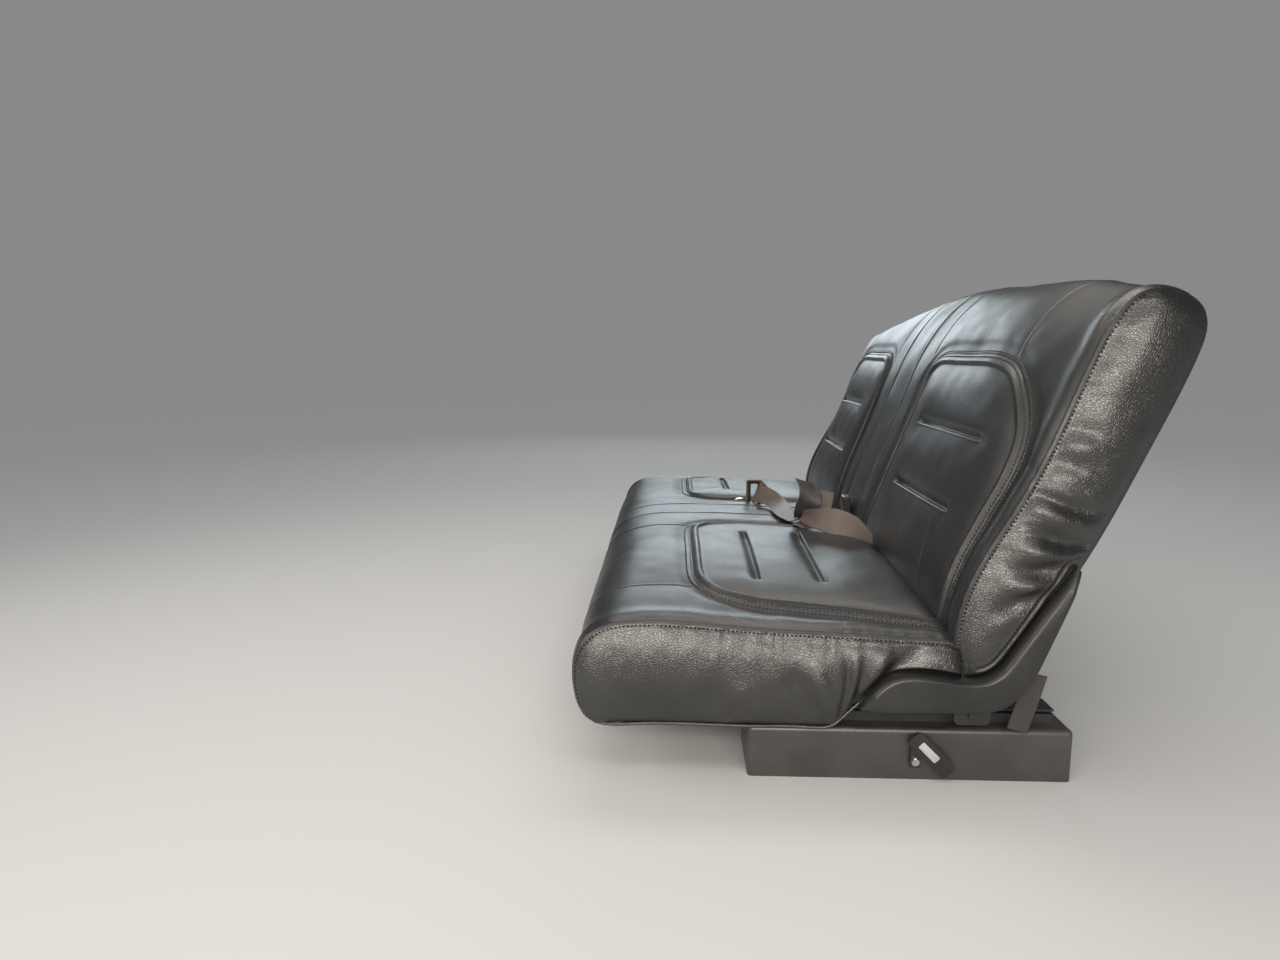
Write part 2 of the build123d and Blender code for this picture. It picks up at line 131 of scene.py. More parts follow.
def profile_pair(middle, edge, rows):
    """Two profiles with matching control points, sampled together at runs along the middle one."""
    middle, knots, fine, run = measured(middle)
    at = np.interp(rows, run, fine)
    return cubic(knots, middle, at), cubic(knots, np.array(edge, float), at)


def path(points, step=3.0):
    """Smooth path through control points, at even steps."""
    points = np.array(points, float)
    knots = chords(points)
    fine = np.linspace(0, knots[-1], 1500)
    line = cubic(knots, points, fine)
    run = chords(line)
    even = np.linspace(0, run[-1], max(2, int(run[-1] / step)))
    return points_at(line, run, even)


def distance_to(line, a, b):
    """Distance of each point (a, b) from a path, positive on its right-hand side, and the run along it.

    A point with no part of the path within REACH gets the distance FAR.
    """
    flat_a = a.ravel()
    flat_b = b.ravel()
    best = np.full(flat_a.shape, FAR)
    sign = np.ones(flat_a.shape)
    along = np.zeros(flat_a.shape)
    run = chords(line)
    for i in range(len(line) - 1):
        start = line[i]
        span = line[i + 1] - start
        length = span @ span
        near = (np.abs(flat_a - start[0]) < REACH) & (np.abs(flat_b - start[1]) < REACH)
        index = np.nonzero(near)[0]
        if len(index) == 0:
            continue
        da = flat_a[index] - start[0]
        db = flat_b[index] - start[1]
        t = np.clip((da * span[0] + db * span[1]) / length, 0, 1)
        d = np.hypot(da - t * span[0], db - t * span[1])
        closer = d < best[index]
        chosen = index[closer]
        best[chosen] = d[closer]
        sign[chosen] = np.sign(da[closer] * span[1] - db[closer] * span[0])
        along[chosen] = run[i] + t[closer] * (run[i + 1] - run[i])
    return (best * sign).reshape(a.shape), along.reshape(a.shape)


def inside(line, a, b):
    """Whether each point lies inside the path closed on itself."""
    result = np.zeros(a.shape, bool)
    closed = np.vstack([line, line[:1]])
    for (a0, b0), (a1, b1) in zip(closed[:-1], closed[1:]):
        if b0 == b1:
            continue
        crosses = (b0 > b) != (b1 > b)
        result ^= crosses & (a < (a1 - a0) * (b - b0) / (b1 - b0) + a0)
    return result


def weights(places, count):
    """Matrix of Catmull-Rom weights that reads a row of count values at fractional places."""
    matrix = np.zeros((len(places), count))
    base = np.clip(np.floor(places).astype(int), 0, count - 2)
    t = places - base
    kernel = [
        -0.5 * t + t ** 2 - 0.5 * t ** 3,
        1 - 2.5 * t ** 2 + 1.5 * t ** 3,
        0.5 * t + 2 * t ** 2 - 1.5 * t ** 3,
        -0.5 * t ** 2 + 0.5 * t ** 3,
    ]
    rows = np.arange(len(places))
    for k, weight in enumerate(kernel):
        np.add.at(matrix, (rows, np.clip(base + k - 1, 0, count - 1)), weight)
    return matrix


def resample(field, rows, columns):
    """Smooth reading of a coarse field at fractional rows and columns."""
    down = weights(rows, field.shape[0])
    across = weights(columns, field.shape[1])
    return np.einsum("ij,jk...,lk->il...", down, field, across)


def unevenness(run, across, cell, seed):
    """Smooth random field from -1 to 1 in lumps of one cell, for rows at run and columns at across."""
    draw = np.random.default_rng(seed)
    run = run - run.min()
    across = across - across.min()
    coarse = draw.uniform(-1, 1, (int(run.max() / cell) + 4, int(across.max() / cell) + 4))
    return resample(coarse, run / cell + 1, across / cell + 1)


def hump(value, width):
    return np.exp(-(value / width) ** 2)


def ease(value, start, end):
    t = np.clip((value - start) / (end - start), 0, 1)
    return t * t * (3 - 2 * t)


def swell(w, length, power):
    """Share of the crown at a distance from the bench's side."""
    return 1 - np.exp(-(np.maximum(w, 0) / length) ** power)


# ---------------------------------------------------------------- meshes

def grid_normals(points):
    down = np.gradient(points, axis=0)
    across = np.gradient(points, axis=1)
    normal = np.cross(down, across)
    return normal / np.maximum(np.linalg.norm(normal, axis=2, keepdims=True), 1e-9)


def outward(points, direction):
    """Normals that look along direction on the whole, and whether the faces have to be turned for it."""
    normal = grid_normals(points)
    flip = float(np.sum(normal @ np.array(direction, float))) < 0
    return (-normal if flip else normal), flip


def sample(field, rows, columns):
    """Field of a grid read at fractional rows and columns."""
    r = np.clip(np.floor(rows).astype(int), 0, field.shape[0] - 2)
    c = np.clip(np.floor(columns).astype(int), 0, field.shape[1] - 2)
    a = (rows - r)[:, None]
    b = (columns - c)[:, None]
    near = field[r, c] * (1 - b) + field[r, c + 1] * b
    far = field[r + 1, c] * (1 - b) + field[r + 1, c + 1] * b
    return near * (1 - a) + far * a


def new_object(name, vertices, faces, material):
    """Smooth mesh from vertices in mm and one array of quads."""
    mesh = bpy.data.meshes.new(name)
    mesh.vertices.add(len(vertices))
    mesh.vertices.foreach_set("co", (vertices * MM).astype(np.float32).ravel())
    mesh.loops.add(faces.size)
    mesh.loops.foreach_set("vertex_index", faces.astype(np.int32).ravel())
    mesh.polygons.add(len(faces))
    mesh.polygons.foreach_set("loop_start", np.arange(0, faces.size, 4, dtype=np.int32))
    mesh.update(calc_edges=True)
    mesh.validate()
    mesh.shade_smooth()
    mesh.materials.append(material)
    made = bpy.data.objects.new(name, mesh)
    bpy.context.scene.collection.objects.link(made)
    return made


def quads(rows, columns, flip):
    index = np.arange(rows * columns).reshape(rows, columns)
    corners = [index[:-1, :-1], index[1:, :-1], index[1:, 1:], index[:-1, 1:]]
    if flip:
        corners.reverse()
    return np.stack(corners, axis=-1).reshape(-1, 4)


def grid_part(points, flip=False):
    """Grid of points as (vertices, faces)."""
    return points.reshape(-1, 3), quads(*points.shape[:2], flip)


def grid_object(name, points, material, flip=False, **fields):
    made = new_object(name, *grid_part(points, flip), material)
    for field, values in fields.items():
        layer = made.data.attributes.new(field, "FLOAT", "POINT")
        layer.data.foreach_set("value", values.astype(np.float32).ravel())
    return made


def joined(name, parts, material):
    """One object from several (vertices, faces) pairs."""
    vertices = []
    faces = []
    count = 0
    for points, cells in parts:
        vertices.append(points)
        faces.append(cells + count)
        count += len(points)
    return new_object(name, np.vstack(vertices), np.vstack(faces), material)


def tube(line, radius):
    """Round cord along a path, as (vertices, faces)."""
    tangent = np.gradient(line, axis=0)
    tangent /= np.linalg.norm(tangent, axis=1, keepdims=True)
    reference = np.array([0.0, 0.0, 1.0])
    if abs(tangent[0] @ reference) > 0.9:
        reference = np.array([1.0, 0.0, 0.0])
    side = reference - tangent[0] * (tangent[0] @ reference)
    frames = []
    for direction in tangent:
        side = side - direction * (side @ direction)
        side /= np.linalg.norm(side)
        frames.append((side, np.cross(direction, side)))
    angles = np.linspace(0, 2 * pi, 11)
    radii = np.broadcast_to(radius, len(line))
    rings = [
        p + r * (np.cos(angles)[:, None] * a + np.sin(angles)[:, None] * b)
        for p, r, (a, b) in zip(line, radii, frames)
    ]
    return grid_part(np.array(rings))


def rounded_ring(half_a, half_b, corner, steps, turn):
    """Closed outline of a rectangle; each corner takes a number of steps of turn degrees."""
    ring = []
    for side_a, side_b, start in ((1, 1, 0), (-1, 1, 90), (-1, -1, 180), (1, -1, 270)):
        for step in range(steps):
            angle = radians(start + turn * step)
            ring.append((
                side_a * max(half_a - corner, 0.02) + corner * cos(angle),
                side_b * (half_b - corner) + corner * sin(angle),
            ))
    return np.array(ring + ring[:1])


# ---------------------------------------------------------------- materials

def link(source, socket):
    source.id_data.links.new(source, socket)


def feed(node, **inputs):
    """Links sockets to a node's inputs, and sets plain values on its inputs or on the node itself."""
    sockets = [socket.name for socket in node.inputs]
    for key, value in inputs.items():
        name = key.replace("_", " ")
        if isinstance(value, bpy.types.NodeSocket):
            link(value, node.inputs[name])
        elif hasattr(node, key) and key not in sockets:
            setattr(node, key, value)
        else:
            node.inputs[name].default_value = value
    return node


def add(nodes, kind, **inputs):
    return feed(nodes.new("ShaderNode" + kind), **inputs)


def attribute(nodes, name):
    return add(nodes, "Attribute", attribute_name=name).outputs["Fac"]


def ramp(source, stops):
    """Colour ramp over (place, colour) stops, where a colour may be a single grey value."""
    node = add(source.id_data.nodes, "ValToRGB")
    link(source, node.inputs[0])
    elements = node.color_ramp.elements
    while len(elements) < len(stops):
        elements.new(0.5)
    for element, (place, colour) in zip(elements, stops):
        element.position = place
        element.color = (*np.broadcast_to(colour, 3), 1)
    return node.outputs["Color"]


def new_material(name):
    material = bpy.data.materials.new(name)
    material.use_nodes = True
    nodes = material.node_tree.nodes
    return material, nodes, nodes["Principled BSDF"]


def leather(name, colour, roughness, grain, strength=0.35, groove=False):
    """Grained hide: pebbled bump, fine creases, uneven gloss, and painted shade that darkens its grooves,
    seams and hems where a mesh asks for it.
    """
    material, nodes, shader = new_material(name)
    where = add(nodes, "TexCoord").outputs["Object"]
    bend = add(nodes, "TexNoise", Vector=where, Scale=grain * 0.6, Detail=3.0)
    offset = add(nodes, "MixRGB", blend_type="ADD", Fac=0.0015, Color1=where, Color2=bend.outputs["Color"])
    cells = add(nodes, "TexVoronoi", feature="DISTANCE_TO_EDGE", Vector=offset.outputs["Color"], Scale=grain)
    creases = add(nodes, "TexNoise", Vector=where, Scale=60.0, Detail=5.0, Roughness=0.55, Distortion=0.4)
    soft = add(nodes, "TexNoise", Vector=where, Scale=9.0, Detail=4.0, Roughness=0.55)

    pebble = ramp(cells.outputs["Distance"], [(0.0, 0.0), (0.18, 0.75), (0.5, 1.0)])
    creased = add(nodes, "Bump", Strength=0.14, Distance=0.0012, Height=creases.outputs["Fac"])
    bump = add(
        nodes, "Bump", Strength=strength, Distance=0.0004, Height=pebble, Normal=creased.outputs["Normal"],
    )

    dark = tuple(0.55 * c for c in colour)
    light = tuple(1.5 * c for c in colour)
    tone = ramp(soft.outputs["Fac"], [(0.3, dark), (0.5, colour), (0.72, light)])
    gloss = ramp(
        creases.outputs["Fac"], [(0.3, roughness - 0.03), (0.55, roughness), (0.75, roughness + 0.06)],
    )
    # Painted shade: the mesh's attribute mixes the colour towards near black in grooves, seams and hems, and
    # makes the surface rough there.
    if groove:
        depth = attribute(nodes, "groove")
        tone = add(nodes, "MixRGB", Fac=depth, Color1=tone, Color2=(0.003, 0.003, 0.003, 1)).outputs["Color"]
        gloss = add(nodes, "MixRGB", Fac=depth, Color1=gloss, Color2=(0.8, 0.8, 0.8, 1)).outputs["Color"]
    feed(
        shader, Base_Color=tone, Roughness=gloss, Normal=bump.outputs["Normal"],
        Specular_IOR_Level=0.9, Coat_Weight=0.3, Coat_Roughness=0.32,
    )
    return material


def plastic(name, colour, roughness, metallic=0.0, texture=300.0, strength=0.1):
    """Moulded, painted or metal surface with a fine texture and uneven gloss."""
    material, nodes, shader = new_material(name)
    where = add(nodes, "TexCoord").outputs["Object"]
    fine = add(nodes, "TexNoise", Vector=where, Scale=texture, Detail=4.0).outputs["Fac"]
    broad = add(nodes, "TexNoise", Vector=where, Scale=14.0, Detail=5.0, Roughness=0.6).outputs["Fac"]
    bump = add(nodes, "Bump", Strength=strength, Distance=0.0003, Height=fine)
    dark = tuple(0.8 * c for c in colour)
    light = tuple(min(1.0, 1.15 * c) for c in colour)
    feed(
        shader, Metallic=metallic, Normal=bump.outputs["Normal"],
        Base_Color=ramp(broad, [(0.35, dark), (0.65, light)]),
        Roughness=ramp(broad, [(0.3, roughness - 0.05), (0.7, roughness + 0.08)]),
    )
    return material


def woven(name, colour, pale):
    """Belt webbing: ribs across the belt, set by the belt's own run and width."""
    material, nodes, shader = new_material(name)
    run, across = attribute(nodes, "run"), attribute(nodes, "across")
    place = add(nodes, "CombineXYZ", X=run, Y=across).outputs["Vector"]
    weave = add(nodes, "Math", operation="MULTIPLY")
    for socket, way, scale in zip(weave.inputs, ("DIAGONAL", "Y"), (0.55, 0.35)):
        bands = add(nodes, "TexWave", wave_type="BANDS", bands_direction=way, Vector=place, Scale=scale)
        link(bands.outputs["Fac"], socket)
    fuzz = add(nodes, "TexNoise", Vector=place, Scale=1.3, Detail=4.0)
    bump = add(nodes, "Bump", Strength=0.7, Distance=0.0006, Height=weave.outputs["Value"])
    tone = ramp(weave.outputs["Value"], [(0.0, colour), (0.7, pale)])
    stain = ramp(fuzz.outputs["Fac"], [(0.3, 0.7), (0.7, 1.0)])
    mix = add(nodes, "MixRGB", blend_type="MULTIPLY", Fac=0.6, Color1=tone, Color2=stain)
    feed(
        shader, Base_Color=mix.outputs["Color"], Normal=bump.outputs["Normal"],
        Roughness=0.32, Specular_IOR_Level=1.0,
    )
    return material


hide = leather("seat_hide", (0.010, 0.010, 0.011), 0.40, grain=330.0, groove=True)
side_hide = leather("side_hide", (0.012, 0.0115, 0.011), 0.34, grain=300.0, strength=0.7, groove=True)
thread = plastic("thread", (0.02, 0.02, 0.02), 0.5, texture=2500.0, strength=0.5)
dark_thread = plastic("dark_thread", (0.002, 0.002, 0.002), 0.85, texture=2500.0, strength=0.5)
vinyl = leather("riser_vinyl_skin", (0.029, 0.0275, 0.025), 0.42, grain=700.0, strength=0.2)
dark_steel = plastic("dark_steel", (0.035, 0.035, 0.037), 0.5, metallic=0.3)
satin_black = plastic("satin_black", (0.020, 0.020, 0.020), 0.36)
matte_black = plastic("matte_black", (0.025, 0.025, 0.026), 0.62, strength=0.3)
paint_black = plastic("paint_black", (0.02, 0.02, 0.02), 0.45)
chrome = plastic("chrome_finish", (0.72, 0.74, 0.78), 0.16, metallic=1.0, strength=0.03)
bronze = plastic("belt_plate_metal", (0.15, 0.115, 0.08), 0.34, metallic=1.0)
paper = plastic("blank_label", (0.42, 0.41, 0.40), 0.55, strength=0.05)
cloth_black = plastic("crease_cloth_black", (0.006, 0.006, 0.006), 0.8, strength=0.4)
dark_webbing = woven("dark_webbing", (0.014, 0.011, 0.009), (0.055, 0.042, 0.034))
webbing = woven("belt_webbing", (0.042, 0.031, 0.025), (0.20, 0.148, 0.118))
# Darker, bluer copy of the webbing: painted shade for the belt's face that is turned away from the light.
belt_painted_shade = woven("belt_painted_shade", (0.020, 0.017, 0.018), (0.060, 0.050, 0.050))


# ---------------------------------------------------------------- sewn sections

# (depth, up) from the crease forward over the top and down the front; the edge rows match the crown rows
CUSHION_CROWN = [
    (534, 190), (532, 222), (522, 240), (496, 250), (450, 257), (380, 262), (300, 265), (220, 267),
    (150, 267), (95, 264), (55, 255), (25, 238), (8, 214), (0, 185), (-2, 155), (2, 125), (12, 100), (34, 82),
]
CUSHION_EDGE = [
    (544, 160), (543, 188), (534, 205), (505, 211), (455, 213), (380, 217), (300, 220), (225, 225),
    (160, 230), (108, 232), (66, 229), (34, 219), (13, 200), (2, 176), (0, 150), (3, 124), (12, 100),
    (34, 82),
]
# (w, depth) of the horseshoe's outer seam, from the crease forward, across and back
HORSESHOE = [
    (36, 575), (41, 505), (57, 405), (67, 330), (73, 280), (88, 230), (111, 196), (150, 175), (200, 169),
    (345, 168), (455, 168), (500, 175), (528, 197), (543, 233), (548, 275), (542, 340), (536, 400),
    (537, 480), (541, 575),
]
CUSHION_CHANNELS = (276.0, 377.0)
CUSHION_CHANNEL_SPAN = (158.0, 440.0)
FORWARD_SEAMS = (134.0, 520.0)

# (behind the root line, up) of the upright backrest, from the crease up the front, over the top and
# down the rear
BACK_CROWN = [
    (-8, 18), (-34, 30), (-58, 52), (-72, 84), (-80, 124), (-85, 170), (-90, 235), (-95, 300), (-100, 360),
    (-104, 410), (-105, 455), (-101, 505), (-90, 552), (-68, 594), (-36, 622), (0, 632), (32, 624), (50, 600),
    (57, 560), (59, 480), (60, 370), (60, 250), (50, 125), (34, 30),
]
BACK_EDGE = [
    (-9, 0), (-23, 17), (-41, 44), (-54, 80), (-61, 124), (-61, 175), (-56, 240), (-54, 300), (-56, 360),
    (-60, 410), (-63, 455), (-65, 515), (-62, 560), (-52, 598), (-30, 622), (0, 632), (28, 624), (44, 600),
    (52, 560), (57, 480), (60, 370), (61, 250), (50, 125), (34, 30),
]
# (w, up) of the arch's outer seam, from the crease up, across and down
ARCH = [
    (49, 40), (50, 85), (54, 131), (57, 185), (56, 235), (55, 285), (64, 336), (80, 368), (102, 396),
    (128, 421), (160, 440), (205, 450), (330, 452), (440, 451), (482, 447), (510, 434), (527, 412),
    (534, 380), (537, 340), (537, 290), (537, 229), (541, 150), (546, 90), (549, 40),
]
BACK_CHANNELS = (318.0, 200.0)
BACK_CHANNEL_SPAN = (160.0, 440.0)
RISING_SEAMS = (168.0, 545.0)
BACK_CREASE = [(184, 186), (177, 150), (168, 112), (148, 76), (118, 50)]
# (x, height of the top edge)
TOP_EDGE = [(-685, 545), (-580, 556), (-281, 602), (38, 632), (380, 622), (461, 620), (625, 596), (685, 586)]
TOP_START = 450.0
TOP_FULL = 632.0

INSERT_START = 24.0
INSERT_PUFF = 5.0
STITCH_IN = 5.8
STITCH_OUT = -5.4


def border(d):
    """Height across a sewn border: seam, two stitched rows, a soft roll and the valley round the insert."""
    height = -1.7 * hump(d, 1.4)
    height += 0.8 * (hump(d - 2.8, 1.6) + hump(d + 2.8, 1.6))
    height -= 0.6 * (hump(d - STITCH_IN, 1.1) + hump(d - STITCH_OUT, 1.1))
    height += 5.4 * ease(d, 1.0, 15.5) - 4.6 * ease(d, 15.5, 21.5)
    height -= 1.6 * hump(d + 17.0, 9.0)
    return height


def channel(along, across, half):
    """Height of one sewn channel: it sinks slowly in front and ends at a sharp lip."""
    short = ease(half + 4 - np.abs(across), 0, 9)
    long = ease(half + 8 - np.abs(across), 0, 46)
    slope = np.where(along < 0, hump(along, 9.0), hump(along, 1.9))
    wide = np.where(along < 0, hump(along, 24.0), hump(along, 6.0))
    lip = 1.3 * hump(along - 4.5, 3.2)
    return short * (lip - 6.0 * slope) - 1.8 * long * wide


def plain_seam(distance, depth):
    """Height across a seam without a border."""
    return 0.9 * hump(distance - 1.0, 1.6) - 0.5 * depth * hump(distance + 2.4, 1.6)


def gathers(distance, run, amount, reach, seed):
    """Fine uneven gathers that run away from a seam and come and go along it."""
    pitch, spell = 7.0, 70.0
    draw = np.random.default_rng(seed)
    place = run - run.min()
    fine = draw.uniform(-1, 1, int(place.max() / pitch) + 6)
    slow = draw.uniform(-0.6, 1, int(place.max() / spell) + 6)
    wave = np.interp(place / pitch + 1, np.arange(len(fine)), fine)
    swing = np.interp(place / spell + 1, np.arange(len(slow)), slow)
    pattern = wave * np.maximum(swing, 0)
    return amount * pattern * np.exp(-np.abs(distance) / reach) * ease(np.abs(distance), 0.5, 4.0)


def insert_height(line, w, other, mask):
    """Relief of a sewn insert and its border, with the distance inside it and the run along its seam."""
    within = inside(line, w, other) & mask
    gap, along = distance_to(line, w, other)
    gap = np.where(within, np.abs(gap), -np.abs(gap))
    gap = np.where(mask, gap, -200)
    height = border(gap)
    puff = INSERT_PUFF * (1 - np.exp(-np.maximum(gap - INSERT_START, 0) / 26.0))
    height += np.where(gap > 18, puff, 0)
    height -= 1.2 * np.exp(-np.maximum(-gap - 6, 0) / 16.0) * (gap < -6)
    return height, gap, along


def edges_fixed(rows, columns):
    pins = np.zeros((rows, columns))
    pins[[0, 1, -1, -2]] = 1
    pins[:, [0, -1]] = 1
    return pins


def simulate(points, pinned, cap):
    """Blender's cloth blown up between its sewn lines; gives how far each point moved."""
    rows, columns = points.shape[:2]
    _, flip = outward(points, (0, -0.6, 1))
    made = grid_object("cloth_trial", points, hide, flip)
    group = made.vertex_groups.new(name="sewn")
    for index in np.nonzero(pinned.ravel() > 0.02)[0]:
        group.add([int(index)], float(min(1.0, pinned.ravel()[index])), "REPLACE")
    cloth = made.modifiers.new("cloth", "CLOTH")
    settings = cloth.settings
    settings.quality = 4
    settings.mass = 0.3
    settings.tension_stiffness = 20
    settings.compression_stiffness = 20
    settings.shear_stiffness = 5
    settings.bending_stiffness = 3.0
    settings.use_pressure = True
    settings.uniform_pressure_force = CLOTH_PRESSURE
    settings.shrink_min = 0.0
    settings.vertex_group_mass = "sewn"
    settings.effector_weights.gravity = 0
    cloth.collision_settings.use_collision = False
    cloth.point_cache.frame_start = 1
    cloth.point_cache.frame_end = CLOTH_FRAMES
    scene = bpy.context.scene
    for number in range(1, CLOTH_FRAMES + 1):
        scene.frame_set(number)
    result = made.evaluated_get(bpy.context.evaluated_depsgraph_get())
    moved = np.zeros(rows * columns * 3, np.float32)
    result.data.vertices.foreach_get("co", moved)
    scene.frame_set(1)
    bpy.data.objects.remove(made)
    shift = moved.reshape(rows, columns, 3) / MM - points
    length = np.linalg.norm(shift, axis=2, keepdims=True)
    return shift * np.minimum(1, cap / np.maximum(length, 1e-9))


def seat_place(first, second, x):
    return np.stack([x, first + FRONT_Y, second], axis=-1), second


def leaned(behind, up):
    """Place in the car, as depth and up, of points of the upright backrest."""
    return (
        ROOT_DEPTH + behind * cos(LEAN) + up * sin(LEAN),
        ROOT_UP - behind * sin(LEAN) + up * cos(LEAN),
    )


def top_share(x):
    places, heights = zip(*TOP_EDGE)
    knots = np.array(places, float)
    values = np.array(heights, float)[:, None]
    top = cubic(knots, values, np.clip(np.ravel(x), -HALF, HALF))[:, 0]
    return ((top - TOP_START) / (TOP_FULL - TOP_START)).reshape(np.shape(x))


def lowered(up, x):
    """Heights with the part over TOP_START pressed down to the top edge at x."""
    over = np.maximum(up - TOP_START, 0)
    return np.where(up > TOP_START, TOP_START + over * top_share(x), up)


def back_place(first, second, x):
    up = lowered(second, x)
    depth, high = leaned(first, up)
    return np.stack([x, depth + FRONT_Y, high], axis=-1), up


def channels_and_seams(height, gap, wide, along_of, channels, channel_span, seams, seam_depth, beyond):
    """Adds an insert's channels and the plain seams beyond it; gives also where the cloth is held."""
    middle = sum(channel_span) / 2
    half = (channel_span[1] - channel_span[0]) / 2
    for place in channels:
        height += np.where(gap > 8, channel(along_of(place), wide - middle, half), 0)
    for place in seams:
        height += beyond * plain_seam(wide - place, seam_depth)
    pins = hump(np.abs(gap), 9.0) + beyond * sum(hump(wide - place, 9.0) for place in seams)
    crossing = np.abs(wide - middle) < half
    pins += sum(hump(along_of(place), 8.0) * crossing for place in channels) * (gap > 8)
    return height, pins


def seat_relief(depth, up, wide, _):
    height, gap, along = insert_height(path(HORSESHOE), wide, depth, up > CUSHION_TOP)
    height, pins = channels_and_seams(
        height, gap, wide, lambda place: depth - place, CUSHION_CHANNELS, CUSHION_CHANNEL_SPAN,
        FORWARD_SEAMS, 1.7, ease(172 - depth, -2, 6),
    )
    return height, gap, along, np.clip(pins, 0, 1)


def back_relief(_, up, wide, facing):
    height, gap, along = insert_height(path(ARCH), wide, up, facing)
    height, pins = channels_and_seams(
        height, gap, wide, lambda place: place - up, BACK_CHANNELS, BACK_CHANNEL_SPAN,
        RISING_SEAMS, 1.5, np.where(facing, ease(up, 444, 456), ease(up, 560, 580)),
    )
    fold, _ = distance_to(path(BACK_CREASE), wide, up)
    height += 1.3 * facing * hump(fold, 2.4)
    pins += ~facing * 1.0
    return height, gap, along, np.clip(pins, 0, 1)


def close_rows(crown, column, channels, border_place, border_half):
    """Zones for spaced(): the rows lie closer together at the channels and the insert's border."""
    zones = [(run_at(crown, column, place), 11.0, 1.3) for place in channels]
    return zones + [(run_at(crown, column, border_place), border_half, 2.0)]


SEAT = {
    "crown": CUSHION_CROWN, "edge": CUSHION_EDGE, "swell": (165.0, 1.05), "place": seat_place,
    "relief": seat_relief, "zones": close_rows(CUSHION_CROWN, 0, CUSHION_CHANNELS, 178.0, 22.0),
    "look": (0, -0.5, 1), "centre": CUSHION_SEAM, "cap": 7.0, "roll": 4.5, "rear": None,
}
BACK = {
    "crown": BACK_CROWN, "edge": BACK_EDGE, "swell": (140.0, 1.5), "place": back_place,
    "relief": back_relief, "zones": close_rows(BACK_CROWN, 1, BACK_CHANNELS, 444.0, 24.0),
    "look": (0, -1, 0.4), "centre": BACK_SEAM, "cap": 8.0, "roll": 5.0, "rear": run_at(BACK_CROWN, 0, 50.0),
}


def section_points(shape, run, x):
    crown, edge = profile_pair(shape["crown"], shape["edge"], run)
    wide = HALF - np.abs(x)
    length, power = shape["swell"]
    share = swell(wide, length, power)[None, :, None]
    profile = edge[:, None, :] + (crown - edge)[:, None, :] * share
    across = np.broadcast_to(x[None, :], profile.shape[:2])
    points, up = shape["place"](profile[..., 0], profile[..., 1], across)
    facing = np.broadcast_to((np.arange(len(run)) <= np.argmax(crown[:, 1]))[:, None], up.shape)
    return points, profile, up, facing


def section(name, shape, x, seed):
    """One sewn section, blown up between its seams and then given its relief."""
    total = total_run(shape["crown"])
    if shape["rear"]:
        front = spaced(shape["rear"], ROW_STEP, shape["zones"])
        run = np.concatenate([front, np.arange(front[-1] + REAR_STEP, total, REAR_STEP), [total]])
    else:
        run = spaced(total, ROW_STEP, shape["zones"])
    points, profile, up, facing = section_points(shape, run, x)
    from_side = HALF - np.abs(x)
    wide = np.broadcast_to(from_side[None, :], up.shape)
    forward = np.broadcast_to(run[:, None], up.shape)
    height, gap, along, _ = shape["relief"](profile[..., 0], up, wide, facing)

    few_rows = np.linspace(0, total, int(total / COARSE) + 1)
    few_columns = np.linspace(x[0], x[-1], int(abs(x[-1] - x[0]) / COARSE) + 1)
    coarse, few_profile, few_up, few_facing = section_points(shape, few_rows, few_columns)
    few_wide = np.broadcast_to((HALF - np.abs(few_columns))[None, :], few_up.shape)
    sewn = shape["relief"](few_profile[..., 0], few_up, few_wide, few_facing)[3]
    pinned = np.maximum(sewn, edges_fixed(*few_up.shape))
    normal, _ = outward(coarse, shape["look"])
    lumps = 0.8 * unevenness(few_rows, few_columns, 45.0, seed + 5)
    start = coarse + normal * lumps[..., None] * (1 - pinned[..., None])
    shift = simulate(start, pinned, shape["cap"])
    rows_at = run / total * (len(few_rows) - 1)
    columns_at = (x - x[0]) / (x[-1] - x[0]) * (len(few_columns) - 1)
    points = points + resample(shift, rows_at, columns_at)

    normal, flip = outward(points, shape["look"])
    border_gap = np.broadcast_to(np.abs(from_side - (HALF - shape["centre"]))[None, :], up.shape)
    height -= 1.6 * hump(wide, 1.8)
    height += 0.8 * hump(wide - 3.4, 1.9)
    height += shape["roll"] * hump(wide - 22.0, 19.0)
    height += gathers(wide, forward, 1.1, 14.0, seed + 2)
    height -= 2.6 * hump(border_gap, 2.6)
    height += 0.6 * hump(border_gap - 6.0, 3.0)
    height += gathers(border_gap, forward, 0.5, 10.0, seed + 3)
    height += gathers(gap, along, 0.7, 12.0, seed + 4) * (np.abs(gap) < 60)
    calm = ease(np.minimum(wide, border_gap), 0, 25)
    if shape["rear"]:
        against_board = ~facing * ease(up, 610, 560)
        calm = calm * (1 - against_board)
        height = height * (1 - 0.7 * against_board) - 1.2 * against_board * ease(wide, 8, 30)
    height += calm * 1.5 * unevenness(run, x, 95.0, seed)
    height += calm * 0.45 * unevenness(run, x, 30.0, seed + 1)
    # Painted shade: the skin is darkened where its relief sinks in, more where it sinks deeper, as shade in
    # the recesses would fall.
    dark = np.clip(-np.minimum(height, 0) / 5.0, 0, 1) ** 1.4
    moved = points + normal * height[..., None]
    made = grid_object(name, moved, hide, flip, groove=0.8 * dark)
    return made, {
        "points": moved, "normal": normal, "w": from_side, "key": profile[..., 0], "up": up,
        "facing": facing, "run": run, "sign": np.sign(x[0]),
    }


def columns(centre):
    """x of one side section's columns, closer together where the borders run."""
    zones = [(57.0, 42.0, 2.0), (536.0, 30.0, 2.2), (3.0, 8.0, 1.2), (134.0, 6.0, 1.5), (168.0, 6.0, 1.5)]
    return HALF - spaced(HALF - centre, COLUMN_STEP, zones)


def middle_columns(centre):
    return np.linspace(centre, -centre, int(2 * centre / MIDDLE_STEP) + 1)


